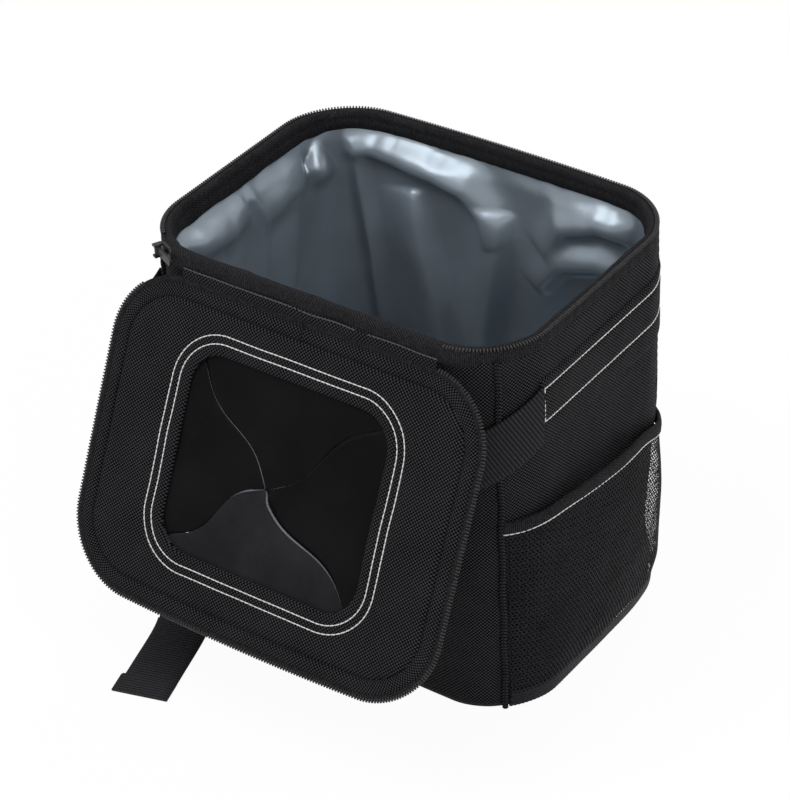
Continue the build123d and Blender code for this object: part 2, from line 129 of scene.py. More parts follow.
class CarBinColours(bpy.types.PropertyGroup):
    """Colours of the bin's finishes."""

    cloth: bpy.props.FloatVectorProperty(
        name="Cloth", description="Woven outer cloth", default=(0.0118, 0.0118, 0.0132),
        size=3, min=0, max=1, subtype="COLOR")
    tape: bpy.props.FloatVectorProperty(
        name="Tape", description="Binding and zip tape", default=(0.0105, 0.0105, 0.0115),
        size=3, min=0, max=1, subtype="COLOR")
    webbing: bpy.props.FloatVectorProperty(
        name="Webbing", description="Strap webbing", default=(0.0135, 0.0135, 0.015),
        size=3, min=0, max=1, subtype="COLOR")
    net: bpy.props.FloatVectorProperty(
        name="Net", description="Pocket net", default=(0.0115, 0.0115, 0.0135),
        size=3, min=0, max=1, subtype="COLOR")
    film: bpy.props.FloatVectorProperty(
        name="Film", description="Coated film of the lining", default=(0.222, 0.262, 0.302),
        size=3, min=0, max=1, subtype="COLOR")
    rubber: bpy.props.FloatVectorProperty(
        name="Rubber", description="Slit sheet in the lid's window", default=(0.003, 0.003, 0.0034),
        size=3, min=0, max=1, subtype="COLOR")
    thread: bpy.props.FloatVectorProperty(
        name="Thread", description="Sewing thread", default=(0.72, 0.72, 0.7),
        size=3, min=0, max=1, subtype="COLOR")
    teeth: bpy.props.FloatVectorProperty(
        name="Teeth", description="Zip teeth", default=(0.013, 0.013, 0.014),
        size=3, min=0, max=1, subtype="COLOR")
    metal: bpy.props.FloatVectorProperty(
        name="Metal", description="Zip slider and pull", default=(0.02, 0.02, 0.021),
        size=3, min=0, max=1, subtype="COLOR")
    floor: bpy.props.FloatVectorProperty(
        name="Floor", description="Floor that the bin stands on", default=(0.9, 0.9, 0.9),
        size=3, min=0, max=1, subtype="COLOR")


def sizes():
    """The lengths set for this scene."""
    return bpy.context.scene.car_bin_sizes


def colours():
    """The colours set for this scene."""
    return bpy.context.scene.car_bin_colours


# Finishes

class Value:
    """A number that changes over a surface, used in sums like an ordinary number."""

    def __init__(self, surface, socket):
        self.surface = surface
        self.socket = socket

    def __add__(self, other):
        return self.surface.maths("ADD", self, other)

    def __radd__(self, other):
        return self.surface.maths("ADD", other, self)

    def __sub__(self, other):
        return self.surface.maths("SUBTRACT", self, other)

    def __rsub__(self, other):
        return self.surface.maths("SUBTRACT", other, self)

    def __mul__(self, other):
        return self.surface.maths("MULTIPLY", self, other)

    def __rmul__(self, other):
        return self.surface.maths("MULTIPLY", other, self)

    def sine(self):
        """Sine of the value in radians."""
        return self.surface.maths("SINE", self)

    def largest(self, other):
        """The larger of two values."""
        return self.surface.maths("MAXIMUM", self, other)

    def step(self, low, high):
        """0 below low, 1 above high and smooth between."""
        settings = {"interpolation_type": "SMOOTHSTEP"}
        return self.surface.add("ShaderNodeMapRange", settings, {0: self, 1: low, 2: high})


class NodeBoard:
    """An emptied node tree and the ways to fill it."""

    def __init__(self, owner):
        owner.use_nodes = True
        self.tree = owner.node_tree
        self.tree.nodes.clear()

    def plug(self, item, socket):
        """Links a value to a socket, or sets the socket to a plain number or colour."""
        if isinstance(item, Value):
            self.tree.links.new(item.socket, socket)
        else:
            socket.default_value = item

    def node(self, kind, settings, inputs):
        """Adds one node, sets it up and fills its sockets."""
        node = self.tree.nodes.new(kind)
        for key, setting in settings.items():
            setattr(node, key, setting)
        for key, item in inputs.items():
            self.plug(item, node.inputs[key])
        return node

    def add(self, kind, settings, inputs, output=0):
        """Adds one node and gives one of its outputs."""
        return Value(self, self.node(kind, settings, inputs).outputs[output])

    def maths(self, operation, *terms):
        """One sum on values and numbers."""
        return self.add("ShaderNodeMath", {"operation": operation}, dict(enumerate(terms)))

    def light_path(self, *kinds):
        """1 for rays of any of these kinds and 0 for others."""
        rays = [self.add("ShaderNodeLightPath", {}, {}, kind) for kind in kinds]
        seen = rays[0]
        for ray in rays[1:]:
            seen = seen.largest(ray)
        return seen


class Surface(NodeBoard):
    """One material and the nodes that make it."""

    def __init__(self, name, **constants):
        self.material = bpy.data.materials.new(name)
        super().__init__(self.material)
        inputs = {key.replace("_", " "): constant for key, constant in constants.items()}
        self.shader = self.node("ShaderNodeBsdfPrincipled", {}, inputs)
        self.look = Value(self, self.shader.outputs[0])
        self.output = self.node("ShaderNodeOutputMaterial", {}, {0: self.look})

    def chart(self):
        """Lengths along and across the cloth, kept with the mesh."""
        place = self.add("ShaderNodeAttribute", {"attribute_name": "chart"}, {}, "Vector")
        along = self.add("ShaderNodeSeparateXYZ", {}, {0: place}, 0)
        across = self.add("ShaderNodeSeparateXYZ", {}, {0: place}, 1)
        return along, across

    def clouds(self, scale, detail=3.0):
        """Soft unevenness from 0 to 1, with features of about 1 / scale metres."""
        place = self.add("ShaderNodeTexCoord", {}, {}, "Object")
        inputs = {"Vector": place, "Scale": scale, "Detail": detail, "Roughness": 0.55}
        return self.add("ShaderNodeTexNoise", {}, inputs, 0)

    def between(self, share, low, high):
        """Colour between two colours."""
        settings = {"data_type": "RGBA"}
        return self.add("ShaderNodeMix", settings, {0: share, 6: (*low, 1), 7: (*high, 1)}, 2)

    def feed(self, **links):
        """Links values to the shader's own sockets."""
        for key, value in links.items():
            self.plug(value, self.shader.inputs[key.replace("_", " ")])

    def bump(self, height, strength, distance):
        """Raises the surface's grain."""
        inputs = {"Strength": strength, "Distance": distance, "Height": height}
        self.feed(Normal=self.add("ShaderNodeBump", {}, inputs))


def shade(colour, share):
    """A colour made darker or lighter."""
    return tuple(min(1.0, part * share) for part in colour)


def made_once(make):
    """Wraps a finish, so that a name is made once and found again after that."""

    def finish(name=make.__name__, **settings):
        return bpy.data.materials.get(name) or make(name, **settings)

    return finish


@made_once
def woven_cloth(name):
    """Matt black cloth in a plain weave, with lighter threads and faint wear."""
    cloth = Surface(name, Sheen_Weight=0.01, Sheen_Roughness=0.4, Specular_IOR_Level=0.04)
    along, across = cloth.chart()
    thread = math.pi / sizes().cloth_thread
    crossing = (along * thread).sine() * (across * thread).sine()
    over = crossing.step(-0.25, 0.55)
    height = 0.5 + 0.5 * crossing
    patchy = cloth.clouds(45.0)
    slub = cloth.clouds(900.0, detail=1.0)
    share = 0.62 * over + 0.3 * slub + 0.3 * (patchy - 0.5)
    colour = colours().cloth
    cloth.feed(Base_Color=cloth.between(share.step(0.16, 0.78), shade(colour, 0.03), shade(colour, 3.2)))
    cloth.feed(Roughness=0.85 - 0.25 * height)
    cloth.bump(height + 0.3 * slub, strength=0.9, distance=0.45 * MM)
    return cloth.material


@made_once
def ribbed_tape(name):
    """Black tape with fine ribs across it."""
    tape = Surface(name, Sheen_Weight=0.01, Sheen_Roughness=0.35, Specular_IOR_Level=0.04)
    along, across = tape.chart()
    rib = 0.5 + 0.5 * (along * (TURN / (1.1 * MM))).sine()
    cross = 0.5 + 0.5 * ((across + 0.5 * along) * (TURN / (1.0 * MM))).sine()
    fuzz = tape.clouds(800.0, detail=2.0)
    share = 0.25 * rib + 0.3 * cross + 0.6 * fuzz
    colour = colours().tape
    tape.feed(Base_Color=tape.between(share.step(0.35, 0.95), shade(colour, 0.2), shade(colour, 3.4)))
    tape.feed(Roughness=0.85 - 0.2 * rib)
    tape.bump(0.6 * rib + 0.4 * cross + 0.4 * fuzz, strength=0.8, distance=0.3 * MM)
    return tape.material


@made_once
def strap_webbing(name):
    """Black webbing, its ribs in the mesh and its threads in the grain."""
    strap = Surface(name, Sheen_Weight=0.01, Sheen_Roughness=0.35, Specular_IOR_Level=0.06)
    along, across = strap.chart()
    rib = 0.5 + 0.5 * (along * (TURN / sizes().rib_pitch)).sine()
    threads = 0.5 + 0.5 * (across * (TURN / (1.1 * MM))).sine()
    fuzz = strap.clouds(800.0, detail=2.0)
    share = 0.5 * rib + 0.3 * threads + 0.3 * fuzz
    colour = colours().webbing
    strap.feed(Base_Color=strap.between(share.step(0.2, 0.9), shade(colour, 0.3), shade(colour, 2.2)))
    strap.feed(Roughness=0.75 - 0.25 * rib)
    strap.bump(threads + 0.4 * fuzz, strength=0.7, distance=0.25 * MM)
    return strap.material


@made_once
def knitted_net(name):
    """Black knitted net yarn, with painted glints and lit patches in its colour."""
    net = Surface(name, Sheen_Weight=0.01, Sheen_Roughness=0.4, Specular_IOR_Level=0.08)
    yarn = net.clouds(1500.0, detail=2.0)
    patchy = net.clouds(40.0)
    # Painted light: the colour's fine speckle stands in for glints on the threads, and its broad patches for
    # lit patches of net; the same speckle also gives the yarn's grain in the bump.
    share = 0.6 * yarn + 0.4 * patchy
    colour = colours().net
    net.feed(Base_Color=net.between(share.step(0.3, 0.7), shade(colour, 0.5), shade(colour, 1.8)))
    net.feed(Roughness=0.7 - 0.2 * yarn)
    net.bump(yarn, strength=0.6, distance=0.2 * MM)
    return net.material


@made_once
def coated_film(name):
    """Blue-grey coated film with a satin gloss and a faint grain."""
    film = Surface(name, Metallic=0.48)
    clouds = film.clouds(25.0, detail=2.0)
    grain = film.clouds(1600.0, detail=2.0)
    creases = film.clouds(70.0, detail=2.0)
    colour = colours().film
    share = 0.7 * clouds + 0.3 * grain
    film.feed(Base_Color=film.between(share.step(0.2, 0.8), shade(colour, 0.9), shade(colour, 1.1)))
    film.feed(Roughness=0.26 + 0.12 * clouds)
    film.bump(creases + 0.06 * grain, strength=0.3, distance=0.6 * MM)
    return film.material


@made_once
def slit_rubber(name, paler_by=1.0):
    """Matt black rubber sheet with a fine grain and paler scuffs; a factor makes the whole sheet paler, used
    for painted light on the flap that stands up most and for the paler cut edges.
    """
    rubber = Surface(name, Specular_IOR_Level=0.05)
    clouds = rubber.clouds(25.0)
    grain = rubber.clouds(1300.0, detail=2.0)
    colour = shade(colours().rubber, paler_by)
    share = 0.7 * clouds + 0.3 * grain
    rubber.feed(Base_Color=rubber.between(share.step(0.3, 0.75), shade(colour, 0.7), shade(colour, 1.7)))
    rubber.feed(Roughness=0.34 + 0.2 * clouds)
    rubber.bump(grain, strength=0.35, distance=0.2 * MM)
    return rubber.material


@made_once
def white_thread(name, share=1.0):
    """Twisted sewing thread, white or a share of white."""
    thread = Surface(name, Sheen_Weight=0.1 * share)
    along, across = thread.chart()
    twist = 0.5 + 0.5 * ((along + across) * (TURN / (0.55 * MM))).sine()
    colour = shade(colours().thread, share)
    thread.feed(Base_Color=thread.between(twist, shade(colour, 0.72), shade(colour, 1.1)))
    thread.feed(Roughness=0.75 - 0.2 * twist)
    thread.bump(twist, strength=0.6, distance=0.15 * MM)
    return thread.material


@made_once
def moulded_teeth(name):
    """Glossy black moulded teeth."""
    teeth = Surface(name, Specular_IOR_Level=0.3)
    scuff = teeth.clouds(600.0, detail=2.0)
    colour = colours().teeth
    teeth.feed(Base_Color=teeth.between(scuff.step(0.35, 0.75), shade(colour, 0.8), shade(colour, 1.9)))
    teeth.feed(Roughness=0.3 + 0.25 * scuff)
    teeth.bump(scuff, strength=0.2, distance=0.1 * MM)
    return teeth.material


@made_once
def blackened_metal(name):
    """Black painted metal, brighter where it is rubbed."""
    metal = Surface(name, Metallic=0.7)
    rubbed = metal.clouds(260.0, detail=3.0)
    grain = metal.clouds(2200.0, detail=1.0)
    colour = colours().metal
    metal.feed(Base_Color=metal.between(rubbed.step(0.45, 0.8), shade(colour, 0.8), shade(colour, 4.0)))
    metal.feed(Roughness=0.3 + 0.25 * grain)
    metal.bump(grain, strength=0.15, distance=0.05 * MM)
    return metal.material


def pale_floor():
    """White floor that keeps a soft shadow and looks white to the camera."""
    floor = Surface("pale_floor", Roughness=0.9)
    grain = floor.clouds(3.0)
    colour = colours().floor
    floor.feed(Base_Color=floor.between(grain, shade(colour, 0.99), colour))
    seen = floor.light_path("Is Camera Ray", "Is Glossy Ray", "Is Transmission Ray")
    glow = floor.add("ShaderNodeEmission", {}, {"Color": (1, 1, 1, 1), "Strength": 1.0})
    mixed = floor.add("ShaderNodeMixShader", {}, {0: seen * 0.95, 1: floor.look, 2: glow})
    floor.plug(mixed, floor.output.inputs[0])
    return floor.material


# Shapes

def unit(vectors):
    """The same directions with length 1, one in each row."""
    return vectors / np.linalg.norm(vectors, axis=1, keepdims=True)


def in_space(flat):
    """Places or directions in plan as ones in space, with no height."""
    return np.concatenate((flat, np.zeros((len(flat), 1))), axis=1)


def bell(gap, reach):
    """1 where the gap is 0, falling smoothly towards 0 over a reach."""
    return np.exp(-(gap / reach) ** 2)


def profile(*sections):
    """Depths and levels of a section that is listed as pairs of millimetres and a share of its height."""
    depth, level = np.array(sections).T.copy()
    return depth * MM, level


def runs_along(path):
    """Distance along a path from its first point to each of its points."""
    steps = np.linalg.norm(np.diff(path, axis=0), axis=1)
    return np.concatenate(((0.0,), np.cumsum(steps)))


def read_path(spots, runs, path):
    """Points of a path at some distances along it."""
    return np.stack([np.interp(spots, runs, column) for column in path.T], axis=-1)


def rounded_loop(half_x, half_y, radius, side_count, arc_count):
    """Points anticlockwise round a rectangle with rounded corners, from the front side's right end."""
    points = []
    corners = ((1, -1), (1, 1), (-1, 1), (-1, -1))
    arcs = []
    for index, (side_x, side_y) in enumerate(corners):
        angles = (index - 1) * math.pi / 2 + np.linspace(0, math.pi / 2, arc_count + 1)
        middle = np.array((side_x * (half_x - radius), side_y * (half_y - radius)))
        arcs.append(middle + radius * np.stack((np.cos(angles), np.sin(angles)), axis=1))
    for index, arc in enumerate(arcs):
        following = arcs[(index + 1) % len(arcs)]
        shares = np.linspace(0, 1, side_count + 1)[1:-1, None]
        points.append(arc)
        points.append(arc[-1] + (following[0] - arc[-1]) * shares)
    return np.concatenate(points)


def bowed(points):
    """The loop with the bin's back side bowed outwards."""
    bent = points.copy()
    reach = np.clip(points[:, 1] / HALF_DEPTH, 0, 1) ** 4
    bent[:, 1] += BACK_BOW * reach * (1 - (points[:, 0] / HALF_WIDTH) ** 2)
    return bent


def bin_loop(inset, side_count, arc_count):
    """The bin's outline from above, moved inwards by inset."""
    radius = sizes().corner_radius - inset
    return bowed(rounded_loop(HALF_WIDTH - inset, HALF_DEPTH - inset, radius, side_count, arc_count))


def outward_of(points):
    """Outward directions of a closed loop's points."""
    along = np.roll(points, -1, axis=0) - np.roll(points, 1, axis=0)
    return unit(np.stack((along[:, 1], -along[:, 0]), axis=1))


class Outline:
    """The bin's outline, read by the run from the middle of its front side round by the right."""

    side_count = 80
    arc_count = 40

    def __init__(self, inset=0.0):
        loop = np.roll(bin_loop(inset, self.side_count, self.arc_count), self.side_count // 2, axis=0)
        out = outward_of(loop)
        self.points = np.concatenate((loop, loop[:1]))
        self.out = np.concatenate((out, out[:1]))
        self.runs = runs_along(self.points)
        self.length = self.runs[-1]

    def at(self, run):
        """Place and outward direction at a run."""
        wrapped = np.mod(run, self.length)
        return read_path(wrapped, self.runs, self.points), read_path(wrapped, self.runs, self.out)

    def run_near(self, x, y):
        """Run of the outline's point nearest to x and y."""
        gaps = np.hypot(self.points[:-1, 0] - x, self.points[:-1, 1] - y)
        return self.runs[int(np.argmin(gaps))]

    def wall(self, run, height, outward):
        """Points on the wall at a run, a height and a distance outwards."""
        run, height, outward = np.broadcast_arrays(run, height, outward)
        place, out = self.at(run)
        flat = place + out * outward[..., None]
        return np.concatenate((flat, height[..., None]), axis=-1)


def soft_waves(along, across, seed, longest, shortest):
    """Smooth unevenness between about -1 and 1, the same on every run."""
    chance = np.random.default_rng(seed)
    count = 9
    total = np.zeros(np.broadcast(along, across).shape)
    weights = 0.0
    for index in range(count):
        size = longest * (shortest / longest) ** (index / (count - 1))
        angle = chance.uniform(0, TURN)
        phase = chance.uniform(0, TURN)
        weight = (size / longest) ** 0.7
        wave = (along * math.cos(angle) + across * math.sin(angle)) * TURN / size + phase
        total = total + weight * np.sin(wave)
        weights += weight
    return total / weights * 2


def smooth_share(values, low, high):
    """0 below low, 1 above high and smooth between."""
    share = np.clip((np.asarray(values) - low) / (high - low), 0, 1)
    return share * share * (3 - 2 * share)


def grid_faces(rows, columns, rows_closed=False, columns_closed=False):
    """Four-sided faces of a grid of points, row by row."""
    row_count = rows if rows_closed else rows - 1
    column_count = columns if columns_closed else columns - 1
    row, column = np.meshgrid(np.arange(row_count), np.arange(column_count), indexing="ij")
    next_row = (row + 1) % rows
    next_column = (column + 1) % columns
    corners = (row * columns + column, row * columns + next_column,
               next_row * columns + next_column, next_row * columns + column)
    return np.stack(corners, axis=-1).reshape(-1, 4)


def tube_faces(rows, columns):
    """Faces of an open tube with a cap at each end; each row of points is one ring."""
    faces = grid_faces(rows, columns, columns_closed=True).tolist()
    first = list(range(columns))
    last = list(range((rows - 1) * columns, rows * columns))
    return faces + [first[::-1], last]


def new_piece(name, points, faces, material, chart=None, thickness=0.0, offset=-1.0):
    """A smooth mesh piece with its material and, for cloth, its chart."""
    mesh = bpy.data.meshes.new(name)
    corners = np.asarray(points, dtype=float).reshape(-1, 3)
    listed = faces if isinstance(faces, list) else faces.tolist()
    mesh.from_pydata(corners.tolist(), [], listed)
    if chart is not None:
        kept = mesh.attributes.new("chart", "FLOAT_VECTOR", "POINT")
        flat = np.asarray(chart, dtype=float).reshape(-1, 2)
        kept.data.foreach_set("vector", in_space(flat).ravel())
    mesh.validate()
    mesh.shade_smooth()
    mesh.materials.append(material)
    piece = bpy.data.objects.new(name, mesh)
    bpy.context.scene.collection.objects.link(piece)
    if thickness > 0:
        solid = piece.modifiers.new("thickness", "SOLIDIFY")
        solid.thickness = thickness
        solid.offset = offset
        solid.use_even_offset = False
    return piece


def carry(piece, body, slot, *nodes):
    """Rides a piece on a body and hides the nodes that it stands for; slot, the name of its finish, is not
    used.
    """
    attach(piece, body)
    if nodes:
        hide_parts(*nodes)


def lid_place(points):
    """Points of the closed lid, measured from its inner face, turned to where it hangs."""
    closed = np.asarray(points, dtype=float)
    lift = 0.4 * MM
    forward = closed[..., 1] - HINGE_Y
    up = closed[..., 2] + RIM_TOP + lift - HINGE_Z
    cosine = math.cos(LID_TURN)
    sine = math.sin(LID_TURN)
    y = HINGE_Y + forward * cosine - up * sine
    z = HINGE_Z + forward * sine + up * cosine
    return np.stack((closed[..., 0], y, z), axis=-1)


def scatter(template, template_faces, origins, frames):
    """Copies of a small shape, each at an origin with its own three axes."""
    points = origins[:, None, :] + np.einsum("pk,nkc->npc", template, frames)
    starts = np.arange(len(origins)) * len(template)
    faces = [[corner + start for corner in face] for start in starts.tolist() for face in template_faces]
    charts = np.broadcast_to(template[:, :2], (len(origins), len(template), 2))
    return points.reshape(-1, 3), faces, charts.reshape(-1, 2)


def pill(length, width, height, squareness, rings, sides, sink=0.0):
    """Rounded pill along its first axis; its ends bend down by sink."""
    angles = np.linspace(0, TURN, sides, endpoint=False)
    sweep = np.linspace(-math.pi / 2, math.pi / 2, rings + 2)[1:-1]

    def squared(value):
        return np.sign(value) * np.abs(value) ** squareness

    ring_x = squared(np.sin(sweep)) * length / 2
    girth = squared(np.cos(sweep))
    x = np.repeat(ring_x, sides)
    y = (girth[:, None] * squared(np.cos(angles))[None, :] * width / 2).ravel()
    z = (girth[:, None] * squared(np.sin(angles))[None, :] * height / 2).ravel()
    ends = np.array(((-length / 2, 0, 0), (length / 2, 0, 0)))
    points = np.concatenate((np.stack((x, y, z), axis=1), ends))
    points[:, 2] -= sink * (2 * points[:, 0] / length) ** 2
    faces = grid_faces(rings, sides, columns_closed=True)[:, ::-1].tolist()
    low = rings * sides
    high = low + 1
    last = (rings - 1) * sides
    faces += [[low, side, (side + 1) % sides] for side in range(sides)]
    faces += [[high, last + (side + 1) % sides, last + side] for side in range(sides)]
    return points, faces


def resampled(points, pitch, closed):
    """Evenly spaced places and headings along a path of points."""
    path = np.concatenate((points, points[:1])) if closed else np.asarray(points)
    runs = runs_along(path)
    count = max(2, int(round(runs[-1] / pitch)))
    spots = (np.arange(count) + 0.5) * runs[-1] / count
    reach = pitch * 0.25
    before = read_path(spots - reach, runs, path)
    after = read_path(spots + reach, runs, path)
    return read_path(spots, runs, path), unit(after - before)


def axes_from(heading, up):
    """Three axes for each place: along the heading, sideways, and close to up."""
    side = unit(np.cross(up, heading))
    over = np.cross(heading, side)
    return np.stack((heading, side, over), axis=1)


def stitch_row(path, ups, closed=False):
    """Places and axes of the stitches along a path whose points face ups."""
    middle, heading = resampled(path, sizes().stitch_pitch, closed)
    gaps = np.linalg.norm(middle[:, None, :] - path[None, :, :], axis=2)
    facing = ups[np.argmin(gaps, axis=1)]
    return middle, axes_from(heading, facing)


def stitches(name, rows, finish):
    """One mesh of sewn stitches from several rows of places and axes."""
    width = sizes().stitch_width
    length = sizes().stitch_pitch * 1.02
    template, faces = pill(length, width, width * 0.8, squareness=0.7, rings=5, sides=8, sink=0.16 * MM)
    origins = np.concatenate([row[0] for row in rows])
    frames = np.concatenate([row[1] for row in rows])
    points, faces, chart = scatter(template, faces, origins, frames)
    return new_piece(name, points, faces, finish, chart)


def band(outline, runs, depths, heights, closed):
    """A closed section carried along the outline; depths and heights have one row for each run."""
    points = outline.wall(runs[:, None], heights, depths)
    steps = np.hypot(np.diff(depths, axis=1), np.diff(heights, axis=1)).mean(axis=0)
    girth = np.concatenate(((0.0,), np.cumsum(steps)))
    chart = np.stack(np.broadcast_arrays(runs[:, None], girth[None, :]), axis=-1)
    if closed:
        faces = grid_faces(len(runs), depths.shape[1], True, True)
    else:
        faces = tube_faces(len(runs), depths.shape[1])
    return points, faces, chart


def even_runs(length, step):
    """Runs that divide a closed outline evenly."""
    count = int(round(length / step))
    return np.arange(count) * length / count


# Walls, base and corner seams

def corner_runs(outline):
    """Runs of the four corner seams, in the order front right, back right, back left, front left."""
    diagonals = ((1, -1), (1, 1), (-1, 1), (-1, -1))
    runs = []
    for diagonal in diagonals:
        facing = outline.out[:-1] @ np.array(diagonal)
        runs.append(outline.runs[int(np.argmax(facing))])
    return runs


def corner_slump(outline, run, height):
    """How far the soft back right corner is drawn in below the pocket's mouth, less so at its foot."""
    deepest = 9 * MM
    reach = 27 * MM
    top = 112 * MM
    middle = outline.run_near(HALF_WIDTH - 8 * MM, HALF_DEPTH - 17 * MM)
    low = np.clip(1 - height / top, 0, 1) ** 0.75
    foot = 0.3 + 0.7 * smooth_share(height, 0, 35 * MM)
    return deepest * bell(run - middle, reach) * low * foot


class CARBIN_OT_walls(bpy.types.Operator):
    """Woven outer walls and base, with piped corner seams"""

    bl_idname = "car_bin.walls"
    bl_label = "Outer Walls"

    run_count = 301
    height_count = 76
    cloth_thickness = 1.0 * MM
    foot = 0.4 * MM
    pucker_pitch = 11 * MM
    pucker_reach = 5 * MM
    piping_radius = 1.7 * MM

    def execute(self, context):
        outline = Outline()
        seams = corner_runs(outline)
        runs = np.linspace(0, outline.length, self.run_count)
        heights = np.linspace(self.foot, WALL_TOP + 0.6 * MM, self.height_count)
        run, height = np.meshgrid(runs, heights)
        around = run / outline.length * TURN
        wrapped_run = np.sin(around) * outline.length / TURN
        wrapped_height = height + 0.2 * np.cos(around)
        unevenness = soft_waves(wrapped_run, wrapped_height, seed=3, longest=0.12, shortest=0.02)
        outward = 0.25 * MM + 0.35 * MM * unevenness
        for seam in seams:
            pucker = 0.5 + 0.5 * np.sin(height * TURN / self.pucker_pitch + seam * 40)
            outward = outward - 0.5 * MM * bell(run - seam, self.pucker_reach) * pucker
        tuck = 1 - smooth_share(height, self.foot, self.foot + 4 * MM)
        outward = outward - 1.4 * MM * tuck - corner_slump(outline, run, height)
        points = outline.wall(run, height, outward)
        faces = grid_faces(len(heights), len(runs))
        chart = np.stack((run, height), axis=-1)
        wall = new_piece("bin_walls", points, faces, woven_cloth(), chart, thickness=self.cloth_thickness)
        carry(wall, "bin", "woven_fabric",
              "front_panel", "back_panel", "left_panel", "right_panel", "wall_padding")
        self.base(outline)
        self.piping(outline, seams)
        return {"FINISHED"}

    def base(self, outline):
        """Flat base cloth, a little slack in its middle."""
        runs = even_runs(outline.length, 4 * MM)
        edge, out = outline.at(runs)
        edge = edge - out * corner_slump(outline, runs, 0.0)[:, None]
        shares = np.linspace(1, 0.02, 26)
        rows = edge[None, :, :] * shares[:, None, None]
        rows[0] -= out * 1.0 * MM
        waves = soft_waves(rows[..., 0], rows[..., 1], seed=8, longest=0.09, shortest=0.03)
        slack = 0.35 * MM * (1 - shares[:, None] ** 4) * (1 + 0.5 * waves)
        points = np.concatenate((rows, (0.25 * MM + slack)[..., None]), axis=-1)
        points[0, :, 2] = 0.9 * MM
        faces = grid_faces(len(shares), len(runs), columns_closed=True)[:, ::-1].tolist()
        inmost = list(range((len(shares) - 1) * len(runs), len(shares) * len(runs)))
        faces.append(inmost[::-1])
        base = new_piece("base_cloth", points, faces, woven_cloth(), rows, thickness=self.cloth_thickness)
        carry(base, "bin", "woven_fabric", "base_panel", "base_board")

    def piping(self, outline, seams):
        """A piped seam up each corner."""
        names = ("front_right", "back_right", "back_left", "front_left")
        heights = np.linspace(0.8 * MM, WALL_TOP, 90)
        sides = 12
        angles = np.linspace(0, TURN, sides, endpoint=False)
        for name, seam in zip(names, seams):
            place, out = outline.at(np.array(seam))
            along = np.array((-out[1], out[0]))
            sway = 0.35 * MM * np.sin(heights * TURN / (38 * MM) + seam * 30)
            radius = self.piping_radius + 0.12 * MM * np.sin(heights * TURN / (5.5 * MM))
            proud = 0.7 * MM - corner_slump(outline, seam, heights)
            middle = place + out * proud[:, None] + along * sway[:, None]
            ring = np.cos(angles)[:, None] * out + np.sin(angles)[:, None] * along
            flat = middle[:, None, :] + ring[None, :, :] * radius[:, None, None]
            tall = np.broadcast_to(heights[:, None, None], flat.shape[:2] + (1,))
            points = np.concatenate((flat, tall), axis=-1)
            girth = angles[None, :] * self.piping_radius
            chart = np.stack(np.broadcast_arrays(girth, heights[:, None]), axis=-1)
            faces = tube_faces(len(heights), sides)
            seam_piece = new_piece("seam_" + name, points, faces, woven_cloth(), chart)
            carry(seam_piece, "bin", "woven_fabric", "corner_piping_" + name)


# Rim and zip

def zip_runs(outline):
    """Runs along the outline at which the rim has teeth."""
    runs = even_runs(outline.length, sizes().tooth_pitch)
    place, _ = outline.at(runs)
    left_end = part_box("zip_slider")[0][0] - 1.5 * MM
    bare = (place[:, 1] < FRONT_ZONE) & (place[:, 0] > left_end) & (place[:, 0] < STRIP_HIGH[0])
    return runs[~bare]


def binding_raise(outline, runs):
    """How far the rim binding's lower edge is drawn up at each run, and the wave behind it."""
    wave = soft_waves(runs, 0.0, seed=5, longest=0.07, shortest=0.011)
    place, _ = outline.at(runs)
    at_back = smooth_share(place[:, 1], HALF_DEPTH - 40 * MM, HALF_DEPTH)
    return 3.2 * MM * at_back + 1.8 * MM * wave, wave


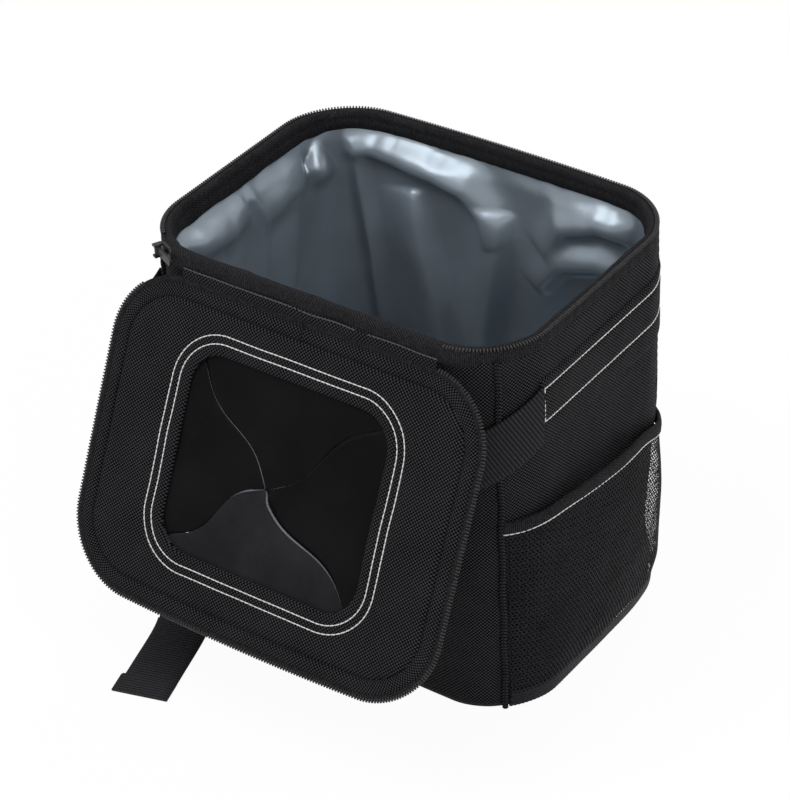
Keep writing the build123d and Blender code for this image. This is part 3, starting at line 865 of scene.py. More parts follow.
class CARBIN_OT_rim(bpy.types.Operator):
    """Padded rim binding and the zip tape round the rim"""

    bl_idname = "car_bin.rim"
    bl_label = "Rim"

    def execute(self, context):
        outline = Outline()
        runs = even_runs(outline.length, 1.5 * MM)
        self.binding(outline, runs)
        self.tape(outline, runs)
        return {"FINISHED"}

    def binding(self, outline, runs):
        """Padded binding inside the rim, turned over the rim along its front."""
        low = BINDING_LOW[2]
        tall = BINDING_HIGH[2] - low
        depth, level = profile(
            (1.5, 0.03), (1.4, 0.45), (1.5, 0.9), (2.2, 1.0), (3.6, 1.03),
            (5.0, 0.98), (5.9, 0.86), (6.2, 0.72), (5.9, 0.61), (6.5, 0.5),
            (6.9, 0.36), (6.7, 0.16), (6.1, 0.03), (4.8, 0.0), (3.0, 0.0))
        share = smooth_share(depth, 3.0 * MM, 6.5 * MM)
        lifted, wave = binding_raise(outline, runs)
        pucker = 0.12 * MM * np.sin(runs * TURN / (8.2 * MM) + 2 * wave)
        place, _ = outline.at(runs)
        depths = -(depth[None, :] + share[None, :] * (pucker + 0.9 * MM * wave)[:, None])
        at_front = smooth_share(-place[:, 1], HALF_DEPTH - 12 * MM, HALF_DEPTH - 2 * MM)
        turned = np.zeros(len(depth))
        turned[1:4] = (1.0, 1.0, 0.6)
        depths = depths + (3.5 * MM + 0.7 * MM * wave)[:, None] * at_front[:, None] * turned[None, :]
        sag = (1 - level)[None, :] * share[None, :] * (lifted + pucker)[:, None]
        heights = low + tall * level[None, :] + sag
        points, faces, chart = band(outline, runs, depths, heights, True)
        binding = new_piece("rim_binding_tape", points, faces, ribbed_tape(), chart)
        carry(binding, "bin", "binding", "rim_binding")

    def tape(self, outline, runs):
        """Zip tape from the top of the walls up to the teeth."""
        low = WALL_TOP - 0.4 * MM
        high = COIL_LOW[2] + 0.6 * MM
        depth, level = profile(
            (-1.4, 0.0), (0.35, 0.0), (0.55, 0.12), (0.5, 0.5), (0.3, 0.85), (0.0, 1.0), (-1.0, 1.0))
        _, wave = binding_raise(outline, runs)
        ripple = 0.18 * MM * np.sin(runs * TURN / (9 * MM) + wave)
        depths = depth[None, :] + ripple[:, None] * (depth > 0)[None, :]
        heights = np.broadcast_to(low + (high - low) * level, depths.shape)
        points, faces, chart = band(outline, runs, depths, heights, True)
        tape = new_piece("rim_tape", points, faces, ribbed_tape(), chart)
        carry(tape, "bin", "zip_tape", "rim_zip_tape")


class CARBIN_OT_zip(bpy.types.Operator):
    """Zip teeth of the rim and of the lid, and the finish of the slider and pull"""

    bl_idname = "car_bin.zip"
    bl_label = "Zip"

    def execute(self, context):
        outline = Outline()
        runs = zip_runs(outline)
        place, out = outline.at(runs)
        along = in_space(np.stack((-out[:, 1], out[:, 0]), axis=1))
        outwards = in_space(out)
        upwards = np.cross(along, outwards) * -1
        middle = place - out * 0.55 * MM
        level = np.full((len(runs), 1), (COIL_LOW[2] + COIL_HIGH[2]) / 2)
        tooth, tooth_faces = pill(
            length=2.8 * MM, width=1.05 * MM, height=1.7 * MM, squareness=0.7, rings=5, sides=8)
        frames = np.stack((outwards, along, upwards), axis=1)
        rim_middle = np.concatenate((middle, level), axis=1)
        points, faces, chart = scatter(tooth, tooth_faces, rim_middle, frames)
        rim_teeth = new_piece("rim_teeth", points, faces, moulded_teeth(), chart)
        carry(rim_teeth, "bin", "zip_coil", "rim_zip_coil")
        hinge_side = (place[:, 1] < FRONT_ZONE) & (np.abs(place[:, 0]) < STRIP_HIGH[0])
        above_face = np.full((len(runs), 1), 1.4 * MM)
        lid_middle = np.concatenate((middle, above_face), axis=1)[~hinge_side]
        lid_frames = lid_place(frames + lid_middle.mean(axis=0)) - lid_place(lid_middle.mean(axis=0))
        points, faces, chart = scatter(tooth, tooth_faces, lid_place(lid_middle), lid_frames[~hinge_side])
        lid_teeth = new_piece("lid_teeth", points, faces, moulded_teeth(), chart)
        carry(lid_teeth, "lid", "zip_coil", "lid_zip_coil")
        for node in ("zip_slider", "zip_pull"):
            frame["nodes"][node].data.materials.clear()
            frame["nodes"][node].data.materials.append(blackened_metal())
        return {"FINISHED"}


# Lining

def ridge(run, height, line, rise, breadth, steep):
    """A fold along a line of (run, height) points, steep on one side and soft on the other."""
    nearest = np.full(np.broadcast(run, height).shape, 1.0)
    side = np.zeros(nearest.shape)
    share = np.zeros(nearest.shape)
    total = len(line) - 1
    for index in range(total):
        start = np.array(line[index])
        end = np.array(line[index + 1])
        reach = end - start
        length = np.linalg.norm(reach)
        along = ((run - start[0]) * reach[0] + (height - start[1]) * reach[1]) / length**2
        kept = np.clip(along, 0, 1)
        off_run = run - start[0] - kept * reach[0]
        off_height = height - start[1] - kept * reach[1]
        gap = np.hypot(off_run, off_height)
        closer = gap < nearest
        nearest = np.where(closer, gap, nearest)
        side = np.where(closer, np.sign(reach[0] * off_height - reach[1] * off_run), side)
        share = np.where(closer, (index + kept) / total, share)
    width = np.where(side > 0, breadth, breadth * steep)
    fade = np.sin(np.clip(share, 0, 1) * math.pi) ** 0.5
    return rise * fade * bell(nearest, width)


class CARBIN_OT_lining(bpy.types.Operator):
    """Wrinkled film that lines the bin"""

    bl_idname = "car_bin.lining"
    bl_label = "Lining"

    run_count = 441
    height_count = 140
    seat = 4.6 * MM
    floor = 5.9 * MM
    most_inward = 20 * MM

    def execute(self, context):
        outline = Outline(self.seat)
        runs = np.linspace(0, outline.length, self.run_count)
        heights = np.linspace(self.floor, BINDING_LOW[2] + 5.0 * MM, self.height_count)
        run, height = np.meshgrid(runs, heights)
        inward = self.folds(outline, run, height)
        points = outline.wall(run, height, -inward)
        chart = np.stack((run, height), axis=-1)
        faces = grid_faces(len(heights), len(runs))[:, ::-1].tolist()
        shares = np.linspace(1, 0.02, 24)[1:]
        rows = points[:1, :, :2] * shares[:, None, None]
        waves = soft_waves(rows[..., 0], rows[..., 1], seed=21, longest=0.08, shortest=0.02)
        slack = 1.6 * MM + 1.4 * MM * waves
        rise = smooth_share(1 - shares, 0, 0.15)[:, None] * slack
        bottom = np.concatenate((rows, (self.floor + np.maximum(rise, 0))[..., None]), axis=-1)
        start = points.shape[0] * points.shape[1]
        columns = len(runs)
        joined = np.concatenate((points[:1], bottom))
        under = grid_faces(len(joined), columns)
        under = np.where(under < columns, under, under + start - columns)
        faces += under.tolist()
        last = start + (len(shares) - 1) * columns
        faces.append([last + column for column in range(columns - 1)])
        everything = np.concatenate((points.reshape(-1, 3), bottom.reshape(-1, 3)))
        charts = np.concatenate((chart.reshape(-1, 2), rows.reshape(-1, 2)))
        lining = new_piece("lining_film", everything, faces, coated_film(), charts)
        carry(lining, "bin", "liner_film", "liner")
        return {"FINISHED"}

    def folds(self, outline, run, height):
        """How far the film stands in from the wall behind it."""
        length = outline.length
        deep = sizes().fold_depth
        around = run / length * TURN
        ring = 0.12
        sideways = np.sin(around) * ring
        forwards = ring * np.cos(around)
        soft = soft_waves(sideways, height + forwards, seed=12, longest=0.15, shortest=0.03)
        slanted = sideways + height * 0.3
        fine = soft_waves(slanted, height * 0.5 + forwards, seed=14, longest=0.05, shortest=0.012)
        inward = 1.3 * MM + 1.0 * MM * soft + 0.4 * MM * fine

        def near(place):
            """Runs counted the shorter way round from a place."""
            return place + np.mod(run - place + length / 2, length) - length / 2

        def back(x):
            """Run of a place on the back side."""
            return length / 2 - x

        def left(y):
            """Run of a place on the left side."""
            return outline.run_near(-HALF_WIDTH, y)

        def right(y):
            """Run of a place on the right side."""
            return outline.run_near(HALF_WIDTH, y)

        # Each bulge has a run, a height and a share of the fold depth
        bulges = (
            (back(-0.051), 0.205, 0.25), (back(-0.007), 0.185, 0.25), (back(-0.005), 0.126, 0.25),
            (back(0.061), 0.198, 0.3), (left(0.041), 0.189, 0.2), (left(-0.036), 0.174, 0.25),
            (back(0.03), 0.175, 0.5), (right(-0.009), 0.174, 0.4), (0.037, 0.15, 0.35),
            (length - 0.043, 0.133, 0.35),
        )
        bulge_reach = 34 * MM
        for place, level, share in bulges:
            gap = np.hypot(near(place) - place, height - level)
            inward = inward + deep * share * bell(gap, bulge_reach)
        # Each fold has a line of runs and heights, a share of the fold depth, a breadth, and the share of
        # that breadth on its other side
        folds = (
            (((back(0.002), 0.182), (back(-0.006), 0.2), (back(-0.02), 0.2115), (back(-0.04), 0.2155),
              (back(-0.066), 0.2175), (back(-0.106), 0.2175)), 1.05, 11 * MM, 0.5),
            (((back(0.006), 0.205), (back(0.006), 0.185), (back(0.002), 0.16), (back(-0.006), 0.12),
              (back(-0.008), 0.05)), 1.25, 17 * MM, 0.35),
            (((back(-0.058), 0.2), (back(-0.05), 0.165), (back(-0.04), 0.13), (back(-0.032), 0.06)),
             1.2, 16 * MM, 0.4),
            (((back(0.096), 0.214), (back(0.07), 0.216), (back(0.048), 0.208), (back(0.034), 0.188)),
             0.85, 10 * MM, 0.55),
            (((back(0.094), 0.188), (back(0.07), 0.191), (back(0.048), 0.185), (back(0.03), 0.162)),
             0.85, 10 * MM, 0.5),
            (((back(-0.1), 0.226), (back(-0.095), 0.188), (back(-0.089), 0.15), (back(-0.086), 0.09)),
             0.6, 3.5 * MM, 2.0),
            (((left(0.002), 0.228), (left(0.007), 0.206), (left(0.011), 0.188), (left(0.011), 0.13)),
             0.45, 8 * MM, 0.5),
            (((left(0.0), 0.214), (left(-0.02), 0.209), (left(-0.045), 0.212), (left(-0.068), 0.219)),
             0.95, 13 * MM, 0.75),
            (((left(0.056), 0.208), (left(0.03), 0.207), (left(0.008), 0.2)), 0.85, 14 * MM, 0.75),
            (((left(0.086), 0.211), (left(0.07), 0.206), (left(0.057), 0.213)), 0.7, 11 * MM, 0.7),
            (((left(0.04), 0.2), (left(0.036), 0.15), (left(0.034), 0.08)), 0.6, 14 * MM, 0.5),
            (((left(-0.03), 0.2), (left(-0.024), 0.15), (left(-0.028), 0.07)), 0.4, 14 * MM, 0.6),
            (((right(-0.03), 0.21), (right(-0.009), 0.17), (right(0.0), 0.08)), 0.4, 15 * MM, 0.7),
            (((right(0.05), 0.2), (right(0.04), 0.14), (right(0.045), 0.06)), 0.4, 12 * MM, 0.7),
            (((0.05, 0.2), (0.037, 0.15), (0.03, 0.07)), 0.35, 15 * MM, 0.7),
            (((length - 0.06, 0.19), (length - 0.043, 0.133), (length - 0.05, 0.05)), 0.35, 15 * MM, 0.7),
        )
        for line, share, breadth, steep in folds:
            inward = inward + ridge(near(line[0][0]), height, line, deep * share, breadth, steep)
        rim = Outline()
        lifted, _ = binding_raise(rim, run[0] * rim.length / length)
        edge = BINDING_LOW[2] + np.minimum(lifted, 3.5 * MM)
        held = np.clip((height - edge[None, :]) / (9 * MM) + 0.95, 0, 1) ** 1.5
        inward = inward * (1 - held) + 0.4 * MM * held
        inward = self.most_inward * np.tanh(inward / self.most_inward)
        return np.maximum(inward, 0.2 * MM) + corner_slump(outline, run, height)


# Sleeve and straps

def sleeve_runs(outline):
    """Runs of the sleeve's right and left front ends."""
    right = outline.run_near(HALF_WIDTH, SLEEVE_LOW[1])
    return right, outline.length - right


class CARBIN_OT_sleeve(bpy.types.Operator):
    """Sewn band round three sides that holds the straps, with its white stitches"""

    bl_idname = "car_bin.sleeve"
    bl_label = "Strap Sleeve"

    def execute(self, context):
        outline = Outline()
        first, last = sleeve_runs(outline)
        runs = np.linspace(first, last, 300)
        low = SLEEVE_LOW[2]
        high = SLEEVE_HIGH[2]
        upper = high - 6.5 * MM
        lower = low + 15.5 * MM
        levels = np.linspace(low, high, 26)
        waves = soft_waves(runs[:, None], levels[None, :], seed=31, longest=0.06, shortest=0.012)
        puff = 1.7 * MM + 0.35 * MM * waves
        for line in (upper, lower):
            puff = puff - 1.05 * MM * bell(levels[None, :] - line, 1.6 * MM)
        edge = np.minimum(levels - low, high - levels)
        puff = puff * (0.35 + 0.65 * smooth_share(edge, 0, 2.5 * MM))[None, :]
        wave = 0.5 * MM * soft_waves(runs, 0.0, seed=33, longest=0.08, shortest=0.02)
        outer_heights = levels[None, :] + wave[:, None] * smooth_share(levels, high - 8 * MM, high)[None, :]
        inner = np.full((len(runs), 2), -0.2 * MM)
        inner_heights = np.broadcast_to(np.array((high, low)), inner.shape)
        depths = np.concatenate((puff, inner), axis=1)
        heights = np.concatenate((outer_heights, inner_heights), axis=1)
        points, faces, chart = band(outline, runs, depths, heights, False)
        sleeve = new_piece("strap_band", points, faces, woven_cloth(), chart)
        carry(sleeve, "bin", "woven_fabric", "strap_sleeve")
        self.seams(outline, first, last, upper, lower)
        return {"FINISHED"}

    def seams(self, outline, first, last, upper, lower):
        """Stitched lines along the sleeve and across its two ends."""
        proud = 1.25 * MM
        inset = 2.5 * MM
        runs = np.linspace(first + inset, last - inset, 400)
        rows = []
        for level in (upper, lower):
            path = outline.wall(runs, level, proud)
            _, out = outline.at(runs)
            rows.append(stitch_row(path, in_space(out)))
        levels = np.linspace(lower, upper, 30)
        for run in (first + inset, last - inset):
            path = outline.wall(run, levels, proud + 0.3 * MM)
            _, out = outline.at(np.full(len(levels), run))
            rows.append(stitch_row(path, in_space(out)))
        sewn = stitches("sleeve_stitches", rows, white_thread())
        carry(sewn, "bin", "woven_fabric")


def strap_section(width, thickness):
    """Section of a strap with thin edges: places over its width, and heights above its middle."""
    spread = np.array((-1.0, -0.96, -0.75, -0.4, 0.0, 0.4, 0.75, 0.96, 1.0))
    girth = np.array((0.3, 0.85, 1, 1, 1, 1, 1, 0.85, 0.3))
    sides = np.concatenate((spread, spread[::-1])) * width / 2
    faces_up = np.concatenate((girth, -girth[::-1])) * thickness / 2
    return sides, faces_up


def strap_ribs(runs):
    """How far a strap's ribs stand up at each run."""
    return 0.16 * MM * np.cos(runs * TURN / sizes().rib_pitch)


def webbing(name, centres, across, runs, width, thickness):
    """A ribbed strap along centres, with across pointing over its width and its end folded under."""
    heading = unit(np.gradient(centres, axis=0))
    facing = unit(np.cross(heading, across))
    sides, faces_up = strap_section(width, thickness)
    rib = np.sign(faces_up)[None, :] * strap_ribs(runs)[:, None] * np.abs(faces_up)[None, :] * 2 / thickness
    lift = faces_up[None, :] + rib
    hem = smooth_share(runs, runs[-1] - 15 * MM, runs[-1] - 13.5 * MM)[:, None]
    lift = lift * (1 + 0.8 * hem)
    spans = sides[None, :] * (1 + 0.13 * hem * (sides < 0)[None, :])
    points = centres[:, None, :] + across[:, None, :] * spans[..., None]
    points = points + facing[:, None, :] * lift[..., None]
    points[..., 2] = np.maximum(points[..., 2], 0.1 * MM)
    chart = np.stack(np.broadcast_arrays(runs[:, None], spans), axis=-1)
    return new_piece(name, points, tube_faces(len(runs), len(sides)), strap_webbing(), chart)


def smooth_route(points, step):
    """Evenly spaced points on a smooth curve through a few points."""
    knots = np.asarray(points)
    tangents = np.gradient(knots, axis=0)
    dense = []
    shares = np.linspace(0, 1, 40, endpoint=False)[:, None]
    for index in range(len(knots) - 1):
        start = (2 * shares**3 - 3 * shares**2 + 1) * knots[index]
        leave = (shares**3 - 2 * shares**2 + shares) * tangents[index]
        end = (3 * shares**2 - 2 * shares**3) * knots[index + 1]
        arrive = (shares**3 - shares**2) * tangents[index + 1]
        dense.append(start + leave + end + arrive)
    path = np.concatenate(dense + [knots[-1:]])
    runs = runs_along(path)
    spots = np.linspace(0, runs[-1], int(runs[-1] / step))
    return read_path(spots, runs, path), spots


class CARBIN_OT_straps(bpy.types.Operator):
    """Webbing strap round the front right corner and the one that drops to the floor"""

    bl_idname = "car_bin.straps"
    bl_label = "Straps"

    width = 32 * MM
    thickness = 1.6 * MM
    standoff = 2.4 * MM
    slope = math.radians(29)
    level = 192.5 * MM
    step = 0.5 * MM

    def execute(self, context):
        outline = Outline()
        first, _ = sleeve_runs(outline)
        self.right(outline, first)
        self.left()
        return {"FINISHED"}

    def right(self, outline, first):
        """Strap that leaves the sleeve's right end and slopes round the front corner."""
        wrap = 190 * MM
        reach = wrap / math.cos(self.slope)
        runs = np.arange(0, reach, self.step)
        sides, faces_up = strap_section(self.width, self.thickness)
        begin = sides * math.tan(self.slope)
        share = runs / reach
        along = begin[None, :] * (1 - share)[:, None] + runs[:, None]
        around = first - (along * math.cos(self.slope) - sides[None, :] * math.sin(self.slope))
        height = self.level - along * math.sin(self.slope) - sides[None, :] * math.cos(self.slope)
        outward = self.standoff + faces_up[None, :] + np.sign(faces_up)[None, :] * strap_ribs(along)
        points = outline.wall(around, height, outward)
        chart = np.stack(np.broadcast_arrays(along, sides[None, :]), axis=-1)
        faces = tube_faces(len(runs), len(sides))
        strap = new_piece("strap_round_corner", points, faces, strap_webbing(), chart)
        carry(strap, "bin", "webbing", "strap_right")

    def left(self):
        """Strap that drops from the sleeve's left end, turns flat and lies on the floor."""
        floor = self.thickness / 2 + 0.1 * MM
        route = (
            (-0.1244, SLEEVE_LOW[1] - 0.1 * MM, self.level),
            (-0.1244, -0.1041, 0.1625),
            (-0.109, -0.109, 0.095),
            (-0.0965, -0.1085, 0.028),
            (-0.0905, -0.1135, floor + 0.001),
            (-0.0838, -0.129, floor),
            (-0.0752, -0.1585, floor),
            (-0.0686, -0.1817, floor),
        )
        centres, runs = smooth_route(route, self.step)
        centres[:, 2] = np.maximum(centres[:, 2], floor)
        heading = unit(np.gradient(centres, axis=0))
        sideways = unit(np.array((1.0, 0, 0)) - heading * heading[:, :1])
        upwards = np.cross(heading, sideways)
        twist = smooth_share(runs / runs[-1], 0.1, 0.62) * math.pi / 2
        across = upwards * np.cos(twist)[:, None] + sideways * np.sin(twist)[:, None]
        strap = webbing("strap_to_floor", centres, across, runs, self.width, self.thickness)
        carry(strap, "bin", "webbing", "strap_left")


# Pockets

class CARBIN_OT_pockets(bpy.types.Operator):
    """Net pocket with a bound and stitched mouth on each side"""

    bl_idname = "car_bin.pockets"
    bl_label = "Net Pockets"

    half_span = 78.7 * MM
    straight = 49 * MM

    def execute(self, context):
        for name, side in (("right", 1), ("left", -1)):
            self.net(name, side)
            self.mouth(name, side)
        return {"FINISHED"}

    def face(self, y, z):
        """How far out the right pocket's face stands."""
        bend = np.clip(np.abs(y) - self.straight, 0, None)
        radius = sizes().corner_radius + 0.3 * MM
        corner = HALF_WIDTH - sizes().corner_radius + np.sqrt(np.maximum(radius**2 - bend**2, 0))
        levels = np.array((0, 25, 50, 75, 100, 125)) * MM
        bulge = np.interp(z, levels, np.array((2.5, 9, 12.5, 13.5, 12, 9)) * MM)
        across = np.clip(np.abs(y) / self.half_span, 0, 1)
        slack = 1 - 0.45 * smooth_share(y, 0, self.half_span) * smooth_share(z, 85 * MM, 115 * MM)
        return corner + 0.4 * MM + bulge * slack * (1 - across**2) ** 1.15

    def sag(self, y):
        """How far the mouth hangs down at y, most at its back end."""
        front = 3.5 * MM * smooth_share(-y, 45 * MM, self.half_span)
        back = 8 * MM * smooth_share(y, 30 * MM, self.half_span)
        return 4 * MM + front + back + 15 * MM * np.clip((y + 55 * MM) / (133 * MM), 0, 1) ** 1.5

    def spread(self, z):
        """Table of y and of the run along the pocket's face at one height."""
        y = np.linspace(-self.half_span, self.half_span, 400)
        x = self.face(y, np.full_like(y, z))
        runs = np.concatenate(((0.0,), np.cumsum(np.hypot(np.diff(x), np.diff(y)))))
        return y, runs - runs[-1] / 2

    def sewn_in(self, x, y, z):
        """The right net's places, taken in with the soft corner along its foot and at the back seam."""
        outline = Outline()
        right = outline.points[:, 0] > HALF_WIDTH / 2
        run = np.interp(y, outline.points[right, 1], outline.runs[right])
        _, out = outline.at(run)
        share = np.maximum(1 - smooth_share(z, 0, 25 * MM), smooth_share(y, 72 * MM, self.half_span))
        taken = corner_slump(outline, run, z) * share
        return x - out[:, 0] * taken, y - out[:, 1] * taken

    def net(self, name, side):
        """The net itself, with a real hole in each mesh."""
        pitch = sizes().hole_pitch
        y_table, run_table = self.spread(90 * MM)
        half = run_table[-1]
        low = 0.6 * MM
        high = MOUTH_LOW[2] + 3 * MM
        row_step = pitch * math.sqrt(3) / 2
        row_count = int((high - low) / row_step)
        column_count = int(2 * half / pitch) - 1
        row, column = np.meshgrid(np.arange(row_count), np.arange(column_count), indexing="ij")
        centre_run = (column - (column_count - 1) / 2 + 0.5 * (row % 2) - 0.25) * pitch
        centre_level = low + (row + 0.5) * row_step
        corners = math.pi / 6 + np.arange(6) * math.pi / 3
        ring = np.stack((np.cos(corners), np.sin(corners)), axis=1) * pitch / math.sqrt(3)
        centres = np.stack((centre_run.ravel(), centre_level.ravel()), axis=1)
        outer = centres[:, None, :] + ring[None, :, :]
        open_share = 0.1 + 0.9 * smooth_share(centres[:, 1], 9 * MM, 12 * MM)
        hole = ring * np.array((0.76, 0.8))
        drawn = 1 + 0.14 * smooth_share(centres[:, 0], half - 26 * MM, half - 14 * MM)
        inner = centres[:, None, :] + hole[None, :, :] * (open_share * drawn)[:, None, None]
        keys = np.round(outer.reshape(-1, 2) / (0.01 * MM)).astype(int)
        _, first, shared = np.unique(keys, axis=0, return_index=True, return_inverse=True)
        shared = shared.reshape(-1, 6)
        flat = np.concatenate((outer.reshape(-1, 2)[first], inner.reshape(-1, 2)))
        own = len(first) + np.arange(inner.shape[0] * 6).reshape(-1, 6)
        edges = (shared, np.roll(shared, -1, axis=1), np.roll(own, -1, axis=1), own)
        faces = np.stack(edges, axis=-1).reshape(-1, 4)
        y = np.interp(flat[:, 0], run_table, y_table)
        z = np.clip(flat[:, 1], low, high)
        z = z - self.sag(y) * (z - low) / (high - low)
        slack = 0.5 * MM * soft_waves(flat[:, 0], z, seed=41, longest=0.09, shortest=0.03)
        free = smooth_share(self.half_span - np.abs(y), 0, 20 * MM)
        x = self.face(y, z) + np.maximum(slack, -0.2 * MM) * free
        if side > 0:
            x, y = self.sewn_in(x, y, z)
        points = np.stack((side * x, y, z), axis=1)
        if side < 0:
            faces = faces[:, ::-1]
        net = new_piece("pocket_net_" + name, points, faces, knitted_net(), flat,
                        thickness=0.35 * MM, offset=0.0)
        carry(net, "bin", "mesh", "pocket_mesh_" + name)

    def mouth(self, name, side):
        """Bound mouth of the pocket with its line of stitches."""
        low = MOUTH_LOW[2] - 0.5 * MM
        high = MOUTH_HIGH[2]
        y_table, run_table = self.spread((low + high) / 2)
        runs = np.linspace(run_table[0], run_table[-1], 150)
        y = np.interp(runs, run_table, y_table)
        x = self.face(y, (low + high) / 2 - self.sag(y))
        slope = np.gradient(x, y)
        out = unit(np.stack((np.ones_like(slope), -slope), axis=1))
        depth, level = profile(
            (-0.7, 0.0), (0.6, 0.0), (1.35, 0.1), (1.5, 0.3), (1.7, 0.55), (1.6, 0.8), (0.9, 0.97),
            (0.0, 1.0), (-0.8, 0.95), (-1.1, 0.7), (-1.0, 0.3))
        wave = soft_waves(runs, 0.0, seed=43, longest=0.05, shortest=0.01)
        proud = depth[None, :] * (1 + 0.18 * wave[:, None])
        flat = np.stack((x, y), axis=1)[:, None, :] + out[:, None, :] * proud[..., None]
        tall = low + (high - low) * level[None, :] + (0.4 * MM * wave - self.sag(y))[:, None]
        points = np.concatenate((flat, np.broadcast_to(tall, proud.shape)[..., None]), axis=-1)
        points[..., 0] *= side
        faces = tube_faces(len(runs), len(depth))
        if side < 0:
            faces = [face[::-1] for face in faces]
        chart = np.stack(np.broadcast_arrays(runs[:, None], level[None, :] * (high - low)), axis=-1)
        mouth = new_piece("pocket_mouth_" + name, points, faces, ribbed_tape(), chart)
        carry(mouth, "bin", "binding", "pocket_binding_" + name)
        sewn_level = low + 1.6 * MM - self.sag(y)
        sewn = np.concatenate((np.stack((x, y), axis=1) + out * 1.45 * MM, sewn_level[:, None]), axis=1)
        ups = in_space(out)
        sewn[:, 0] *= side
        ups[:, 0] *= side
        row = stitches("pocket_stitches_" + name, [stitch_row(sewn, ups)], white_thread())
        carry(row, "bin", "mesh")


# Lid

LID_THICKNESS = 5.4 * MM
STITCH_RINGS = (6.5 * MM, 11.3 * MM)
LID_CREASE = 12.5 * MM


def window_loop(grow, side_count, arc_count):
    """Loop round the lid's window, moved outwards by grow."""
    half_x = sizes().window_width / 2 + grow
    half_y = sizes().window_depth / 2 + grow
    return rounded_loop(half_x, half_y, sizes().window_radius + grow, side_count, arc_count)


def window_gap(x, y):
    """Distance from the window's edge, positive outside it."""
    radius = sizes().window_radius
    beyond_x = np.abs(x) - sizes().window_width / 2 + radius
    beyond_y = np.abs(y) - sizes().window_depth / 2 + radius
    outside = np.hypot(np.maximum(beyond_x, 0), np.maximum(beyond_y, 0))
    inside = np.minimum(np.maximum(beyond_x, beyond_y), 0)
    return outside + inside - radius


def lid_swell(x, y):
    """How far the lid's padded faces stand out from flat."""
    gap = window_gap(x, y)
    swell = 0.75 * MM * smooth_share(gap, 11 * MM, 20 * MM)
    swell = swell + 0.55 * MM * soft_waves(x, y, seed=51, longest=0.09, shortest=0.02)
    for ring in STITCH_RINGS:
        swell = swell - 0.55 * MM * bell(gap - ring, 1.3 * MM)
    return swell


